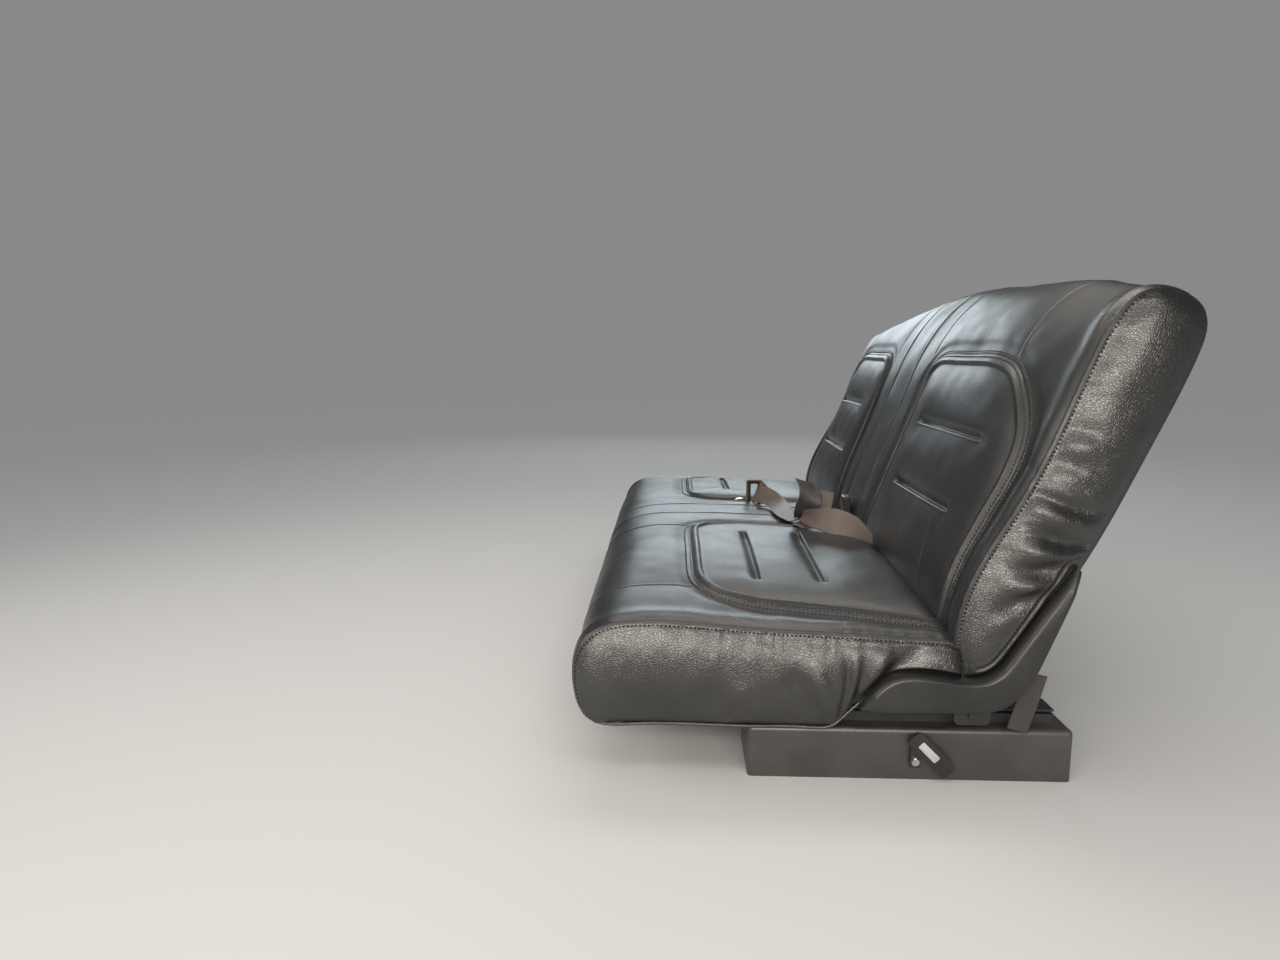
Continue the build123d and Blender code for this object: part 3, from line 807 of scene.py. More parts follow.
cushion_left, seat_left_skin = section("cushion_left", SEAT, columns(CUSHION_SEAM), 11)
cushion_right, seat_right_skin = section("cushion_right", SEAT, -columns(CUSHION_SEAM), 21)
cushion_centre, _ = section("cushion_centre", SEAT, middle_columns(CUSHION_SEAM), 31)
backrest_left, back_left_skin = section("backrest_left", BACK, columns(BACK_SEAM), 61)
backrest_right, back_right_skin = section("backrest_right", BACK, -columns(BACK_SEAM), 71)
backrest_centre, _ = section("backrest_centre", BACK, middle_columns(BACK_SEAM), 81)


# ---------------------------------------------------------------- side panels

# (Y, up) of the shield's upper edge, from its nose back and up
SHIELD_TOP = [
    (-77, 114), (-66, 134), (-50, 153), (-33, 164), (-9, 168), (27, 165), (63, 160.5), (87, 162), (104, 170),
    (115, 180), (124, 193), (150, 234), (186, 290), (206, 321),
]
HEM = 13.0              # from the shield's edge to the hem above it
# height of the fold, width, then (Y, up) points along it
SEAT_FOLDS = [
    (-4.5, 6.0, [(-97, 204), (-96, 150), (-103, 90)]),
    (3.0, 7.0, [(-85, 208), (-86, 150), (-97, 90)]),
    (-4.0, 6.5, [(-72, 200), (-78, 150), (-94, 92)]),
    (7.5, 11.0, [(-38, 212), (-58, 157), (-74, 131), (-92, 92)]),
    (-11.0, 14.0, [(26, 200), (-16, 184), (-43, 159), (-67, 127), (-84, 102)]),
    (4.5, 19.0, [(-262, 166), (-234, 118), (-203, 84)]),
    (-4.0, 19.0, [(-298, 156), (-270, 112), (-244, 84)]),
    (-6.0, 16.0, [(-188, 180), (-156, 132), (-130, 88)]),
    (5.0, 14.0, [(-154, 190), (-128, 135), (-114, 90)]),
]
BACK_FOLDS = [
    (-5.0, 9.0, [(128, 432), (150, 420), (182, 406), (230, 396)]),
    (4.0, 11.0, [(122, 408), (150, 398), (180, 386), (225, 374)]),
    (-9.0, 13.0, [(118, 374), (150, 366), (185, 354), (212, 346), (246, 338)]),
    (6.0, 12.0, [(112, 348), (140, 342), (175, 338), (215, 330)]),
    (-9.0, 12.0, [(98, 322), (126, 316), (150, 314), (176, 316), (206, 322), (232, 330)]),
    (10.0, 14.0, [(96, 290), (130, 291), (160, 296), (188, 302), (222, 314)]),
    (-5.0, 13.0, [(80, 254), (108, 262), (134, 272), (166, 284), (190, 290)]),
    (3.0, 16.0, [(80, 228), (110, 238), (136, 250), (160, 262)]),
    (-3.5, 13.0, [(138, 476), (172, 464), (214, 452)]),
    (3.0, 14.0, [(140, 498), (176, 488), (222, 478)]),
    (-3.0, 12.0, [(150, 520), (186, 508), (226, 500)]),
]


def folded(folds, depth, up):
    """Height of soft folds that are each laid along a path and fade out at its ends."""
    height = np.zeros(depth.shape)
    for amount, width, points in folds:
        line = path(points, 4.0)
        gap, along = distance_to(line, depth, up)
        length = chords(line)[-1]
        end = ease(along, 0, 0.42 * length) * (0.35 + 0.65 * ease(length - along, 0, 0.25 * length))
        height += amount * hump(gap, width) * end
    return height


def held_back(out, depth, up):
    """Keeps the panel inside the shield, and lets it swell out gradually over the shield's edge."""
    gap, _ = distance_to(path(SHIELD_TOP), depth, up)
    over_tip = up > SHIELD_TOP[-1][1] - 6
    above = np.where(over_tip, np.abs(gap), np.maximum(-gap, 0))
    limit = 1.0 + 1.7 * np.where(np.abs(gap) > FAR / 1000, 1000.0, above)
    return np.where(out > limit, limit + 0.15 * (out - limit), out)


def side_seam(gap):
    """Height beside a side seam: the groove of its stitches and the roll behind them."""
    return 0.5 * hump(gap - 6.4, 2.2) - 0.6 * hump(gap - SIDE_STITCH, 1.3)


def sewn_to(points, edge, gap):
    """Draws a panel's first column onto the neighbour's edge."""
    return points + (edge - points[:, 0])[:, None] * np.exp(-gap / 6.0)[..., None]


def seat_side(name, skin, seed):
    """Side panel of the cushion, from the side seam down to the welt."""
    sign = skin["sign"]
    rows = np.nonzero(skin["points"][:, 0, 2] > WELT_UP + 4)[0]
    edge = skin["points"][rows, 0]
    run = skin["run"][rows]
    start = edge[-1, 1]
    reach = np.linspace(0, 1, len(rows))
    floor_y = np.interp(reach, [0, 0.72, 1], [60, -405, start + 1])
    floor_up = WELT_UP + 36.0 * ease(floor_y, -112, -76)
    v = np.linspace(0, 1, 64)
    depth = edge[:, None, 1] * (1 - v) + floor_y[:, None] * v
    up = edge[:, None, 2] * (1 - v) + floor_up[:, None] * v
    gap = np.hypot(depth - edge[:, None, 1], up - edge[:, None, 2])
    tall = np.clip((edge[:, 2] - WELT_UP) / 120.0, 0, 1)
    rising = SIDE_SWELL * (1 - np.maximum(1 - v / 0.42, 0) ** 2.2)
    belly = rising - 22.0 * (np.maximum(v - 0.42, 0) / 0.58) ** 2
    out = belly[None, :] * tall[:, None]
    forward = np.broadcast_to(run[:, None], depth.shape)
    calm = ease(gap, 1, 14) * ease(1 - v, 0, 0.08)[None, :]
    out += calm * folded(SEAT_FOLDS, depth, up)
    out += calm * 2.0 * unevenness(run, v * 160, 75.0, seed)
    out += calm * 0.6 * unevenness(run, v * 160, 24.0, seed + 1)
    out += gathers(gap, forward, 1.5, 18.0, seed + 2)
    out += side_seam(gap)
    out = held_back(out, depth, up)
    x = sign * (HALF + out - PANEL_INSET)
    points = sewn_to(np.stack([x, depth, up], axis=-1), edge, gap)
    rim = points[:, -1:] + np.array([-sign * 9.0, 0, 1.5])
    points = np.concatenate([points, rim], axis=1)
    gap = np.concatenate([gap, gap[:, -1:] + 9], axis=1)
    normal, flip = outward(points, (sign, 0, 0))
    # Painted shade along the side seam: a thin dark line where the panel meets the crown.
    made = grid_object(name, points, side_hide, flip, groove=0.5 * hump(gap, 1.4))
    return made, {"points": points, "normal": normal, "gap": gap}


def back_side(name, skin, seed):
    """Side panel of the backrest, between the front side seam and the rear edge."""
    sign = skin["sign"]
    edge = skin["points"][:, 0]
    top = int(np.argmax(edge[:, 2]))
    front = edge[:top + 1]
    rear = edge[:top - 1:-1]
    front_run = chords(front)
    rear_run = chords(rear)
    opposite = front_run / front_run[-1] * rear_run[-1]
    rear = points_at(rear, rear_run, opposite)
    v = np.linspace(0, 1, 54)
    points = front[:, None] * (1 - v)[None, :, None] + rear[:, None] * v[None, :, None]
    span = np.linalg.norm(front - rear, axis=1)
    gap = v[None, :] * span[:, None]
    back_gap = (1 - v)[None, :] * span[:, None]
    depth, up = points[..., 1], points[..., 2]
    rising = 1 - np.maximum(1 - v / 0.45, 0) ** 2.2
    falling = 1 - 0.85 * (np.maximum(v - 0.45, 0) / 0.55) ** 2.2
    belly = np.where(v < 0.45, rising, falling)
    out = SIDE_SWELL * belly[None, :] * np.clip(span / 110.0, 0, 1)[:, None]
    forward = np.broadcast_to(front_run[:, None], gap.shape)
    calm = ease(gap, 1, 14) * ease(back_gap, 2, 22)
    beside_shield, _ = distance_to(path(SHIELD_TOP), depth, up)
    hem = np.where(depth > 80, -beside_shield - HEM, 1e3)
    near_hem = np.where(np.abs(hem) < 200, 0.3 + 0.7 * ease(hem, 2, 26), 1.0)
    out += calm * near_hem * folded(BACK_FOLDS, depth, up)
    out += calm * 1.8 * unevenness(front_run, v * 110, 60.0, seed)
    out += calm * 0.6 * unevenness(front_run, v * 110, 22.0, seed + 1)
    out += gathers(gap, forward, 2.0, 24.0, seed + 2)
    out += side_seam(gap)
    out -= 2.2 * hump(hem, 1.7)
    out += 0.9 * (hump(hem + 4.0, 2.4) + hump(hem - 4.2, 2.8))
    out *= ease(span, 2.0, 30.0)[:, None]
    out = held_back(out, depth, up)
    base = sign * (HALF - PANEL_INSET)
    fade = np.exp(-gap / 6.0) + np.exp(-back_gap / 6.0)
    x = base + sign * out
    points[..., 0] = points[..., 0] * np.minimum(fade, 1) + x * (1 - np.minimum(fade, 1))
    normal, flip = outward(points, (sign, 0, 0))
    # Painted shade: thin dark lines along the side seam and along the hem above the shield.
    dark = 0.5 * hump(gap, 1.4) + 0.9 * hump(hem, 1.5)
    made = grid_object(name, points, side_hide, flip, groove=np.clip(dark, 0, 1))
    return made, {"points": points, "normal": normal, "gap": gap}


cushion_side_left, seat_side_left = seat_side("cushion_side_left", seat_left_skin, 41)
cushion_side_right, seat_side_right = seat_side("cushion_side_right", seat_right_skin, 51)
backrest_side_left, back_side_left = back_side("backrest_side_left", back_left_skin, 91)
backrest_side_right, back_side_right = back_side("backrest_side_right", back_right_skin, 101)


# ---------------------------------------------------------------- welt and stitches

WELT_RADIUS = 2.4


def side_welt(sign):
    """Piping along one side's lower edge that thins out up the front corner."""
    points = [
        (7, -74, 116), (6, -92, 99), (5, -112, 82), (5, -150, 79), (5, -220, 79), (5, -400, 79),
        (5, -446, 81), (4, -467, 95), (2, -476, 122),
    ]
    line = path([(sign * (HALF - w), y, up) for w, y, up in points], 5.0)
    return tube(line, WELT_RADIUS * ease(np.arange(len(line))[::-1], -2.0, 12.0))


def front_welt():
    ends = [(HALF - 10, 35), (HALF - 60, 33), (0, 33), (-HALF + 60, 33), (-HALF + 10, 35)]
    return path([(x, depth + FRONT_Y, 81) for x, depth in ends], 12.0)


welt = joined("bottom_welt", [side_welt(1), side_welt(-1), tube(front_welt(), WELT_RADIUS)], side_hide)

THREAD_PITCH = 5.9
THREAD_LENGTH = 3.3
THREAD_RADIUS = 1.2


def stitches(line, normal):
    """Short raised threads along a line on the skin, as (vertices, faces) pairs."""
    run = chords(line)
    angles = np.linspace(0, 2 * pi, 6)
    parts = []
    for middle in np.arange(THREAD_PITCH, run[-1] - THREAD_PITCH, THREAD_PITCH):
        p = points_at(line, run, middle - THREAD_LENGTH / 2)
        q = points_at(line, run, middle + THREAD_LENGTH / 2)
        n = points_at(normal, run, middle)
        along = (q - p) / np.linalg.norm(q - p)
        n = n / np.linalg.norm(n)
        around = np.cos(angles)[:, None] * np.cross(along, n) + np.sin(angles)[:, None] * n
        rings = [
            p + (q - p) * share + n * lift + THREAD_RADIUS * size * around
            for share, size, lift in ((0, 0.35, -0.3), (0.22, 1.0, 0.35), (0.78, 1.0, 0.35), (1, 0.35, -0.3))
        ]
        parts.append(grid_part(np.array(rings)))
    return parts


def beside(line, offset):
    """Flat path moved sideways, to its right for a positive offset."""
    tangent = np.gradient(line, axis=0)
    tangent /= np.linalg.norm(tangent, axis=1, keepdims=True)
    return line + offset * np.stack([tangent[:, 1], -tangent[:, 0]], axis=1)


def border_row(skin, flat, offset, use_up):
    """Line on the skin and its normals, for a flat path beside an insert's seam."""
    line = beside(path(flat), offset)
    key = skin["up"] if use_up else skin["key"]
    allowed = skin["facing"] if use_up else skin["up"] > CUSHION_TOP
    at_column = np.interp(line[:, 0], skin["w"], np.arange(len(skin["w"])))
    rows = []
    keep = []
    for other, column in zip(line[:, 1], at_column):
        j = int(round(column))
        valid = np.nonzero(allowed[:, j])[0]
        values = key[valid, j]
        order = np.argsort(values)
        keep.append(values.min() < other < values.max())
        rows.append(np.interp(other, values[order], valid[order]))
    keep = np.array(keep)
    rows = np.array(rows)[keep]
    at_column = at_column[keep]
    return sample(skin["points"], rows, at_column), sample(skin["normal"], rows, at_column)


def panel_row(panel, first, last):
    """Line of a side panel's stitches along its side seam, over a share of its rows, and its normals."""
    gaps = panel["gap"]
    rows = np.arange(int(first * len(gaps)), int(last * len(gaps)))
    at = []
    for i in rows:
        order = np.argsort(gaps[i])
        at.append(np.interp(SIDE_STITCH, gaps[i][order], order))
    return tuple(sample(panel[field], rows.astype(float), np.array(at)) for field in ("points", "normal"))


def hem_row(panel):
    """Line on a backrest side panel just above its hem, and its normals."""
    flat = beside(path(SHIELD_TOP, 3.0), -HEM - SIDE_STITCH)
    flat = flat[flat[:, 0] > 96]
    points = panel["points"].reshape(-1, 3)
    normal = panel["normal"].reshape(-1, 3)
    nearest = np.argmin(np.hypot(points[:, 1] - flat[:, :1], points[:, 2] - flat[:, 1:]), axis=1)
    p, n = points[nearest], normal[nearest]
    x = p[:, 0] - (n[:, 1] * (flat[:, 0] - p[:, 1]) + n[:, 2] * (flat[:, 1] - p[:, 2])) / n[:, 0]
    return np.column_stack([x, flat]), n


def sewing(name, lines, material):
    parts = []
    for line, normal in lines:
        parts += stitches(line, normal)
    return joined(name, parts, material)


cushion_stitches = sewing("cushion_stitches", [
    border_row(skin, HORSESHOE, offset, False)
    for skin in (seat_left_skin, seat_right_skin) for offset in (STITCH_IN, STITCH_OUT)
], thread)
backrest_stitches = sewing("backrest_stitches", [
    border_row(skin, ARCH, offset, True)
    for skin in (back_left_skin, back_right_skin) for offset in (STITCH_IN, STITCH_OUT)
], thread)
side_stitches = sewing("side_stitches", [
    panel_row(panel, 0.03, 0.97) for panel in (seat_side_left, seat_side_right)
] + [
    panel_row(panel, 0.06, 0.97) for panel in (back_side_left, back_side_right)
] + [
    hem_row(panel) for panel in (back_side_left, back_side_right)
], dark_thread)


# ---------------------------------------------------------------- shields, riser covers and label

# (Y, up) of the shield's lower edge
SHIELD_LOW = [
    (-76, 112), (-55, 111.5), (-6, 112), (66, 113), (95, 114), (114, 119), (132, 131), (149, 151), (165, 184),
    (182, 228), (200, 276), (212, 312),
]
SHIELD_INSIDE = 689.6
SHIELD_OUTSIDE = 708.5


def shield(name, sign):
    """Moulded shield: a rolled upper rim, a slightly crowned face and a small lower return."""
    count = 130
    top, low = (
        points_at(line, np.linspace(0, 1, len(line)), np.linspace(0, 1, count))
        for line in (path(SHIELD_TOP, 1.0), path(SHIELD_LOW, 1.0))
    )
    span = low - top
    height = np.linalg.norm(span, axis=1)
    depth = SHIELD_OUTSIDE - SHIELD_INSIDE
    rows = []
    for i in range(count):
        direction = span[i] / max(height[i], 1e-6)
        rim = min(9.5, 0.42 * height[i])
        lip = min(4.0, 0.25 * height[i])
        taper = min(1.0, (min(i, count - 1 - i) + 2.0) / 12.0) ** 0.5
        ring = []
        for angle in np.linspace(0, pi / 2, 9):
            place = top[i] + direction * rim * (1 - cos(angle))
            ring.append((SHIELD_INSIDE + depth * taper * sin(angle) ** 0.8, *place))
        for s in np.linspace(0, 1, 8)[1:]:
            place = top[i] + direction * (rim + (height[i] - rim - lip) * s)
            ring.append((SHIELD_INSIDE + depth * taper * (1 + 0.05 * sin(pi * s)), *place))
        for angle in np.linspace(pi / 2, 0, 6)[1:]:
            place = low[i] - direction * lip * (1 - cos(angle))
            ring.append((SHIELD_INSIDE + depth * taper * sin(angle), *place))
        ring.append(ring[0])
        rows.append(ring)
    points = np.array(rows)
    points[..., 0] *= sign
    return grid_object(name, points, satin_black, flip=sign < 0)


shield_left = shield("shield_left", 1)
shield_right = shield("shield_right", -1)

RISER_MIDDLE, RISER_HALF_X, RISER_HALF_Y, RISER_HEIGHT = 615.0, 60.0, 230.0, 77.0


def riser_cover(name, sign):
    """Vinyl over a riser, with rounded upright corners and a rounded top edge."""
    corner, edge = 7.0, 8.0
    levels = [(z, 0.0) for z in np.linspace(0, RISER_HEIGHT - edge, 24)]
    for angle in np.linspace(0.15, pi / 2, 8):
        levels.append((RISER_HEIGHT - edge * (1 - sin(angle)), edge * (1 - cos(angle))))
    levels += [(RISER_HEIGHT, edge + step) for step in (6.0, 20.0, 36.0, 52.0)]
    rings = []
    for z, inset in levels:
        ring = rounded_ring(RISER_HALF_X - inset, RISER_HALF_Y - inset, max(corner - inset, 0.05), 7, 15)
        rings.append(np.column_stack([ring, np.full(len(ring), z)]))
    rings = np.array(rings)
    rings[..., 0] += sign * RISER_MIDDLE
    _, flip = outward(rings, (0, 0, 1))
    return grid_object(name, rings, vinyl, flip)


riser_cover_left = riser_cover("riser_cover_left", 1)
riser_cover_right = riser_cover("riser_cover_right", -1)

LABEL_PLACE = (686.0, 25.0, 46.0)


def blank_label():
    """Small blank plate on the release handle, with rounded corners."""
    length, width, thick = 34.0, 11.0, 0.7
    x, middle_y, middle_z = LABEL_PLACE
    outline = rounded_ring(length / 2, width / 2, 2.0, 6, 18)
    turn = radians(-45)
    y = middle_y + outline[:, 0] * cos(turn) - outline[:, 1] * sin(turn)
    z = middle_z + outline[:, 0] * sin(turn) + outline[:, 1] * cos(turn)
    rings = [
        np.column_stack([np.full(len(y), x + lift), y + (middle_y - y) * inset, z + (middle_z - z) * inset])
        for inset, lift in ((0.0, 0.05), (0.0, thick - 0.2), (0.04, thick), (1.0, thick))
    ]
    return grid_object("release_plate", np.array(rings), paper, flip=True)


plate = blank_label()


# ---------------------------------------------------------------- belts

BELT_THICK = 1.4


def ribbon(name, line, side, width=47.0, finish=webbing, shares=None):
    """Flat belt along a path.

    At each control point side gives the direction of its width, and shares how wide it lies.
    """
    knots = chords(np.array(line, float))
    fine = np.linspace(0, knots[-1], int(knots[-1] / 1.6) + 1)
    centre = cubic(knots, np.array(line, float), fine)
    across = cubic(knots, np.array(side, float), fine)
    tangent = np.gradient(centre, axis=0)
    tangent /= np.linalg.norm(tangent, axis=1, keepdims=True)
    across -= tangent * np.sum(across * tangent, axis=1, keepdims=True)
    across /= np.linalg.norm(across, axis=1, keepdims=True)
    normal = np.cross(tangent, across)
    half = width / 2
    count = 19
    v = np.concatenate([np.linspace(-half, half, count), np.linspace(half, -half, count), [-half]])
    edge = np.clip((half - np.abs(v)) / 1.2, 0, 1) ** 0.5
    face = np.concatenate([np.full(count, 0.5), np.full(count, -0.5), [0.5]])
    lift = face * BELT_THICK * (0.25 + 0.75 * edge)
    gathered = np.interp(fine, knots, shares)[:, None] if shares else np.ones((len(fine), 1))
    cup = 7.0 * (1 - gathered) * np.cos(pi * v / width)[None, :]
    points = centre[:, None] + across[:, None] * (gathered * v[None, :])[..., None]
    points = points + normal[:, None] * (lift[None, :] + cup)[..., None]
    run, place = np.broadcast_arrays(chords(centre)[:, None], v[None, :])
    return grid_object(name, points, finish, run=run, across=place)


lap_ribbon = ribbon(
    "lap_belt",
    [(256, 58, 202), (254, 44, 228), (251, 23, 256), (245, -6, 278), (235, -38, 288), (212, -66, 289),
     (160, -86, 285)],
    [(-0.3, 0.45, 0.8), (-0.3, 0.42, 0.82), (-0.3, 0.36, 0.87), (-0.28, 0.3, 0.9), (-0.24, 0.3, 0.92),
     (-0.24, 0.3, 0.92), (-0.2, 0.4, 0.88)],
    width=50.0, shares=[0.12, 0.34, 0.72, 0.98, 1.0, 0.78, 0.42],
)
lap_under = ribbon(
    "lap_belt_under",
    [(238, 56, 236), (236, 36, 248), (228, 8, 256), (214, -24, 262), (190, -52, 267), (150, -84, 271)],
    [(0.9, -0.2, -0.1), (0.95, -0.1, 0.0), (0.95, 0.1, 0.0), (0.8, 0.5, 0.0), (0.6, 0.7, 0.0),
     (0.5, 0.8, 0.0)],
)
# The twist is drawn in the shaded copy of the webbing: painted shade on its turned-away face.
twist_ribbon = ribbon(
    "belt_twist",
    [(138, -88, 271), (152, -84, 282), (163, -77, 298), (171, -70, 315), (166, -70, 330), (150, -74, 342),
     (136, -78, 350)],
    [(0.2, 0.9, -0.3), (0.1, 0.9, -0.4)] + [(0.1, 0.85, -0.52)] * 5,
    width=46.0, finish=belt_painted_shade, shares=[0.4, 0.7, 0.95, 1.0, 1.0, 1.0, 1.0],
)
fold_ribbon = ribbon(
    "belt_fold",
    [(150, -88, 273), (105, -100, 272), (56, -108, 273), (4, -110, 275), (-48, -122, 281), (-88, -140, 284),
     (-110, -152, 282)],
    [(0.0, 1.0, 0.1), (0.0, 1.0, 0.1), (0.0, 1.0, 0.12), (0.0, 1.0, 0.2), (0.0, 0.85, 0.5), (0.0, 0.6, 0.8),
     (0.0, 0.5, 0.85)],
    width=42.0,
)
tail_ribbon = ribbon(
    "belt_tail",
    [(150, -40, 292), (140, -34, 312), (132, -30, 328)],
    [(0.1, 1.0, 0.1), (0.1, 1.0, 0.1), (0.1, 1.0, 0.15)],
    width=28.0,
)


LATCH_Y, LATCH_UP = -154.0, 283.0


def latch_frame():
    """Upright flat frame that the lap belt runs through."""
    front, rear = -109.0, -115.0
    outer, inner = (18.5, 31.0, 6.0), (8.0, 22.0, 3.0)
    rings = []
    for x, size in ((front, outer), (front, inner), (rear, inner), (rear, outer), (front, outer)):
        ring = rounded_ring(*size, 4, 22.5)
        rings.append(np.column_stack([np.full(len(ring), x), LATCH_Y + ring[:, 0], LATCH_UP + ring[:, 1]]))
    return grid_object("latch_frame", np.array(rings), bronze)


frame_bar = latch_frame()


def latch_foot():
    """Chrome tongue of the lap belt, with the roller bar and the loop at its root."""
    outline = [(-122, -205), (-102, -205), (-101, -186), (-104, -173), (-120, -173), (-123, -186)]
    outline = path(outline + outline[:1], 3.0)
    middle = np.array([-112.0, -189.0])
    rings = []
    for share, up in ((0.0, 253.0), (1.0, 253.0), (1.0, 255.4), (0.0, 255.4)):
        flat = outline * share + middle * (1 - share)
        rings.append(np.column_stack([flat, np.full(len(flat), up)]))
    tongue = grid_part(np.array(rings), True)
    bar = tube(np.array([(-112, y, 256.5) for y in np.linspace(-176, -134, 12)]), np.full(12, 4.2))
    angles = np.linspace(0, 2 * pi, 28)
    loop = np.array([(-112 + 3 * sin(a), -186 + 13 * cos(a), 262 + 9 * sin(a)) for a in angles])
    return joined("latch_foot", [tongue, bar, tube(loop, np.full(len(loop), 2.2))], chrome)


foot = latch_foot()


def outboard_strap(name, sign):
    """Strap that comes up from the floor bracket between the riser and the shield."""
    line = [(144, 82), (149, 100), (155, 122), (161, 146), (166, 166)]
    points = [(sign * 687.5, y, z) for y, z in line]
    return ribbon(name, points, [(0.0, 1.0, -0.2)] * len(points), width=30.0, finish=dark_webbing)


outer_left = outboard_strap("outer_strap_left", 1)
outer_right = outboard_strap("outer_strap_right", -1)


# ---------------------------------------------------------------- crease cloth

def crease_cloth():
    """Cloth that joins the cushion's rear edge to the backrest's foot, low in the crease."""
    x = np.linspace(-HALF + 4, HALF - 4, 140)
    v = np.linspace(0, 1, 9)
    sag = 9.0 * np.sin(pi * v)
    depth = 46 + 50 * v
    up = 172 - 8 * v - sag
    points = np.stack(np.broadcast_arrays(x[None, :], depth[:, None], up[:, None]), axis=-1).astype(float)
    _, flip = outward(points, (0, 0, 1))
    return grid_object("crease_cloth", points, cloth_black, flip)


crease_web = crease_cloth()

# ---------------------------------------------------------------- which piece stands for which solid

SEAT_SKIN = [cushion_left, cushion_centre, cushion_right]
SEAT_SIDES = [cushion_side_left, cushion_side_right, welt, cushion_stitches, side_stitches]
BACK_SKIN = [
    backrest_left, backrest_centre, backrest_right, backrest_side_left, backrest_side_right,
    backrest_stitches,
]
ON_THE_FLOOR = (plate, riser_cover_left, riser_cover_right)
DRESSED = [
    (SEAT_SKIN, "cushion", "seat_leather"),
    (SEAT_SIDES, "cushion_skirt", "seat_leather"),
    (BACK_SKIN, "backrest", "seat_leather"),
    ([lap_ribbon, lap_under], "lap_webbing", "webbing"),
    ([plate], "release_label", "label_blank"),
    ([foot], "latch_tongue", "chrome_bolt"),
    ([frame_bar], "latch_plate", "latch_metal"),
    ([riser_cover_left], "riser_left", "riser_vinyl"),
    ([riser_cover_right], "riser_right", "riser_vinyl"),
    ([outer_left], "belt_outboard_left", "webbing"),
    ([outer_right], "belt_outboard_right", "webbing"),
    ([twist_ribbon, fold_ribbon, tail_ribbon], "webbing_fold", "webbing"),
    ([crease_web], "cushion_skirt", None),
    ([shield_left], "side_shield_left", "shield_plastic"),
    ([shield_right], "side_shield_right", "shield_plastic"),
]
for pieces, node, slot in DRESSED:
    for piece in pieces:
        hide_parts(node)
        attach(piece, "base" if piece in ON_THE_FLOOR else "bench")

NODE_FINISH = {
    "rail_lower_left": dark_steel, "rail_lower_right": dark_steel,
    "rail_upper_left": dark_steel, "rail_upper_right": dark_steel,
    "release_lever": paint_black, "lever_bolt": chrome,
    "hinge_bracket_left": paint_black, "hinge_bracket_right": paint_black,
    "cushion_frame": paint_black, "cushion_pan": paint_black, "lower_back_tube": paint_black,
    "back_panel": matte_black,
    "belt_buckle": satin_black,
}
for node, finish in NODE_FINISH.items():
    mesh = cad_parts[node].data
    mesh.materials.clear()
    mesh.materials.append(finish)


# ---------------------------------------------------------------- stage, light and camera

scene = bpy.context.scene
scene.view_settings.view_transform = "Standard"


FLOOR_HALF = 40.0       # metres


def stage_floor():
    mesh = bpy.data.meshes.new("floor")
    corners = [(-1, -1), (1, -1), (1, 1), (-1, 1)]
    mesh.from_pydata([(FLOOR_HALF * x, FLOOR_HALF * y, 0) for x, y in corners], [], [(0, 1, 2, 3)])
    floor = bpy.data.objects.new("floor", mesh)
    scene.collection.objects.link(floor)
    material, _, shader = new_material("floor_paper")
    feed(shader, Base_Color=(0.48, 0.48, 0.48, 1), Roughness=0.9, Specular_IOR_Level=0.0)
    mesh.materials.append(material)


stage_floor()


def turned(place, back):
    """Matrix that puts a lamp or camera at a place, level, with its back towards back."""
    back = back / np.linalg.norm(back)
    right = np.cross([0.0, 0.0, 1.0], back)
    right /= np.linalg.norm(right)
    turn = Matrix(np.column_stack([right, np.cross(back, right), back]).tolist()).to_4x4()
    return Matrix.Translation(place) @ turn


def lamp(name, place, aim, size, power, colour, spread=180):
    light = bpy.data.lights.new(name, "AREA")
    light.spread = radians(spread)
    light.shape = "RECTANGLE"
    light.size, light.size_y = size
    light.energy = power
    light.color = colour
    made = bpy.data.objects.new(name, light)
    scene.collection.objects.link(made)
    made.matrix_world = turned(place, np.array(place) - np.array(aim))


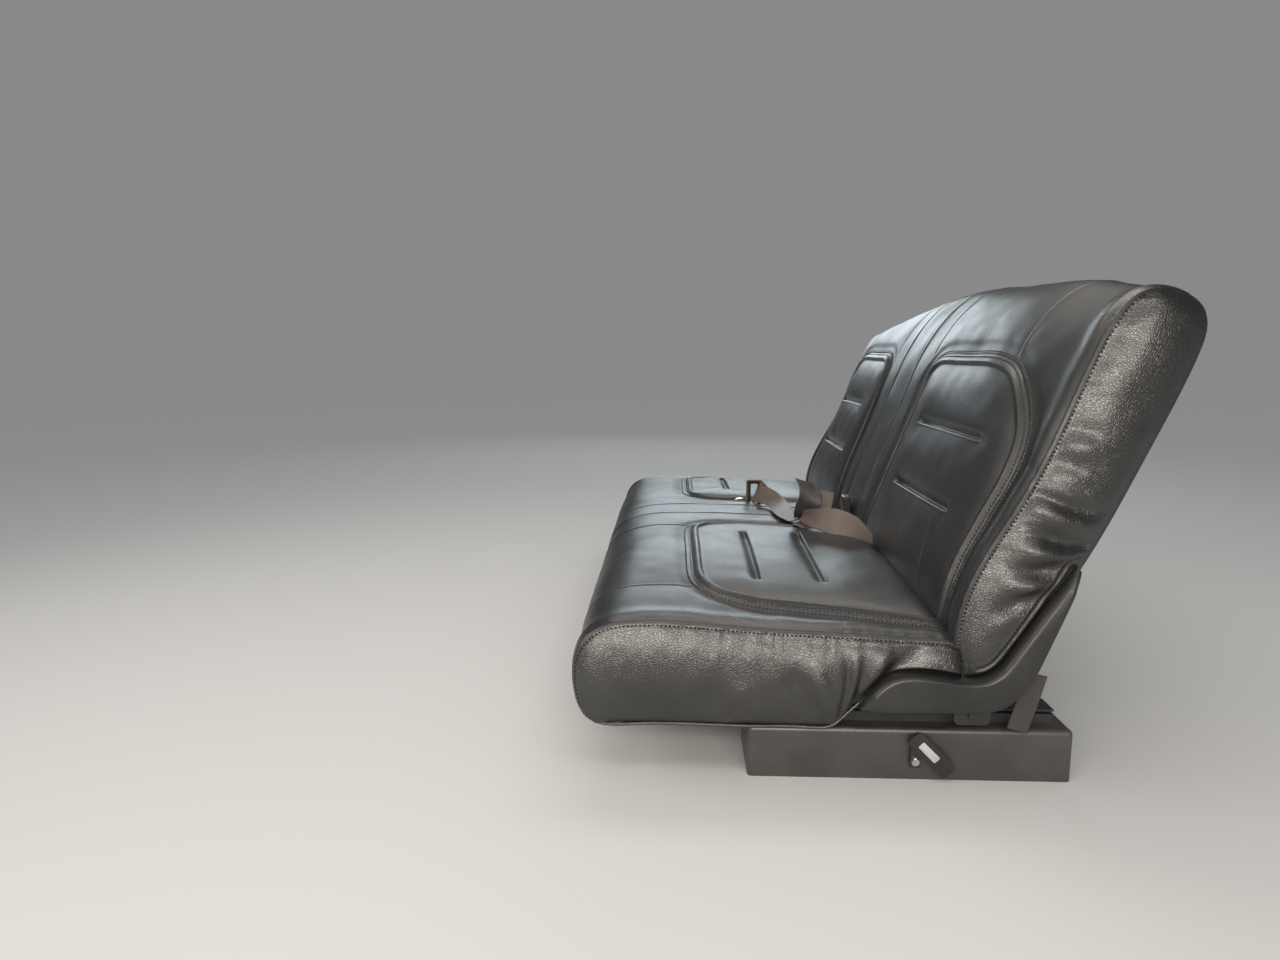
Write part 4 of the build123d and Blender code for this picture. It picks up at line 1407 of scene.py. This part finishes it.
lamp("far_window", (-5.0, -0.1, 1.98), (0.1, -0.2, 0.3), (2.6, 1.1), 12.5, (0.84, 0.95, 1.0), spread=100)
lamp("door_side", (2.65, -0.6, 1.0), (0.68, -0.2, 0.25), (2.8, 0.6), 25.0, (1.0, 0.93, 0.83), spread=110)
lamp("door_top", (1.6, -0.5, 2.05), (0.66, -0.3, 0.3), (2.6, 0.6), 12.0, (1.0, 0.95, 0.88))
lamp("overhead", (-0.45, -0.25, 2.1), (0.5, -0.25, 0.3), (1.9, 0.55), 14.0, (1.0, 0.94, 0.86))
lamp("front_fill", (0.65, -2.7, 1.6), (0.4, 0.0, 0.35), (1.5, 1.3), 8.0, (1.0, 0.94, 0.85), spread=110)

world = bpy.data.worlds.new("studio")
scene.world = world
world.use_nodes = True
sky = world.node_tree.nodes


def shown_to(ray, usual, special):
    """Shader that is the special one to rays of one kind and the usual one to all others."""
    mix = add(sky, "MixShader")
    for source, socket in zip((ray, usual, special), mix.inputs):
        link(source, socket)
    return mix.outputs[0]


ambient = feed(sky["Background"], Color=(1.0, 1.0, 1.0, 1), Strength=0.52).outputs[0]
mirrored = add(sky, "Background", Color=(0.9, 0.95, 1.0, 1), Strength=0.08).outputs[0]
backdrop = add(sky, "Background", Color=(0.25, 0.25, 0.25, 1)).outputs[0]
rays = add(sky, "LightPath").outputs
lit = shown_to(rays["Is Glossy Ray"], ambient, mirrored)
link(shown_to(rays["Is Camera Ray"], lit, backdrop), sky["World Output"].inputs["Surface"])

# from the bench's near side, from the cushion's front and over the floor
CAMERA_PLACE = ((HALF + 1140) * MM, (142 + FRONT_Y) * MM, 610 * MM)
CAMERA_YAW = radians(2.37)
CAMERA_PITCH = radians(8.75)
camera_data = bpy.data.cameras.new("camera")
camera_data.lens = 23.74
camera_data.sensor_width = 36.0
camera = bpy.data.objects.new("camera", camera_data)
scene.collection.objects.link(camera)
level = np.array([cos(CAMERA_YAW), sin(CAMERA_YAW)]) * cos(CAMERA_PITCH)
camera.matrix_world = turned(CAMERA_PLACE, np.array([*level, sin(CAMERA_PITCH)]))
scene.camera = camera
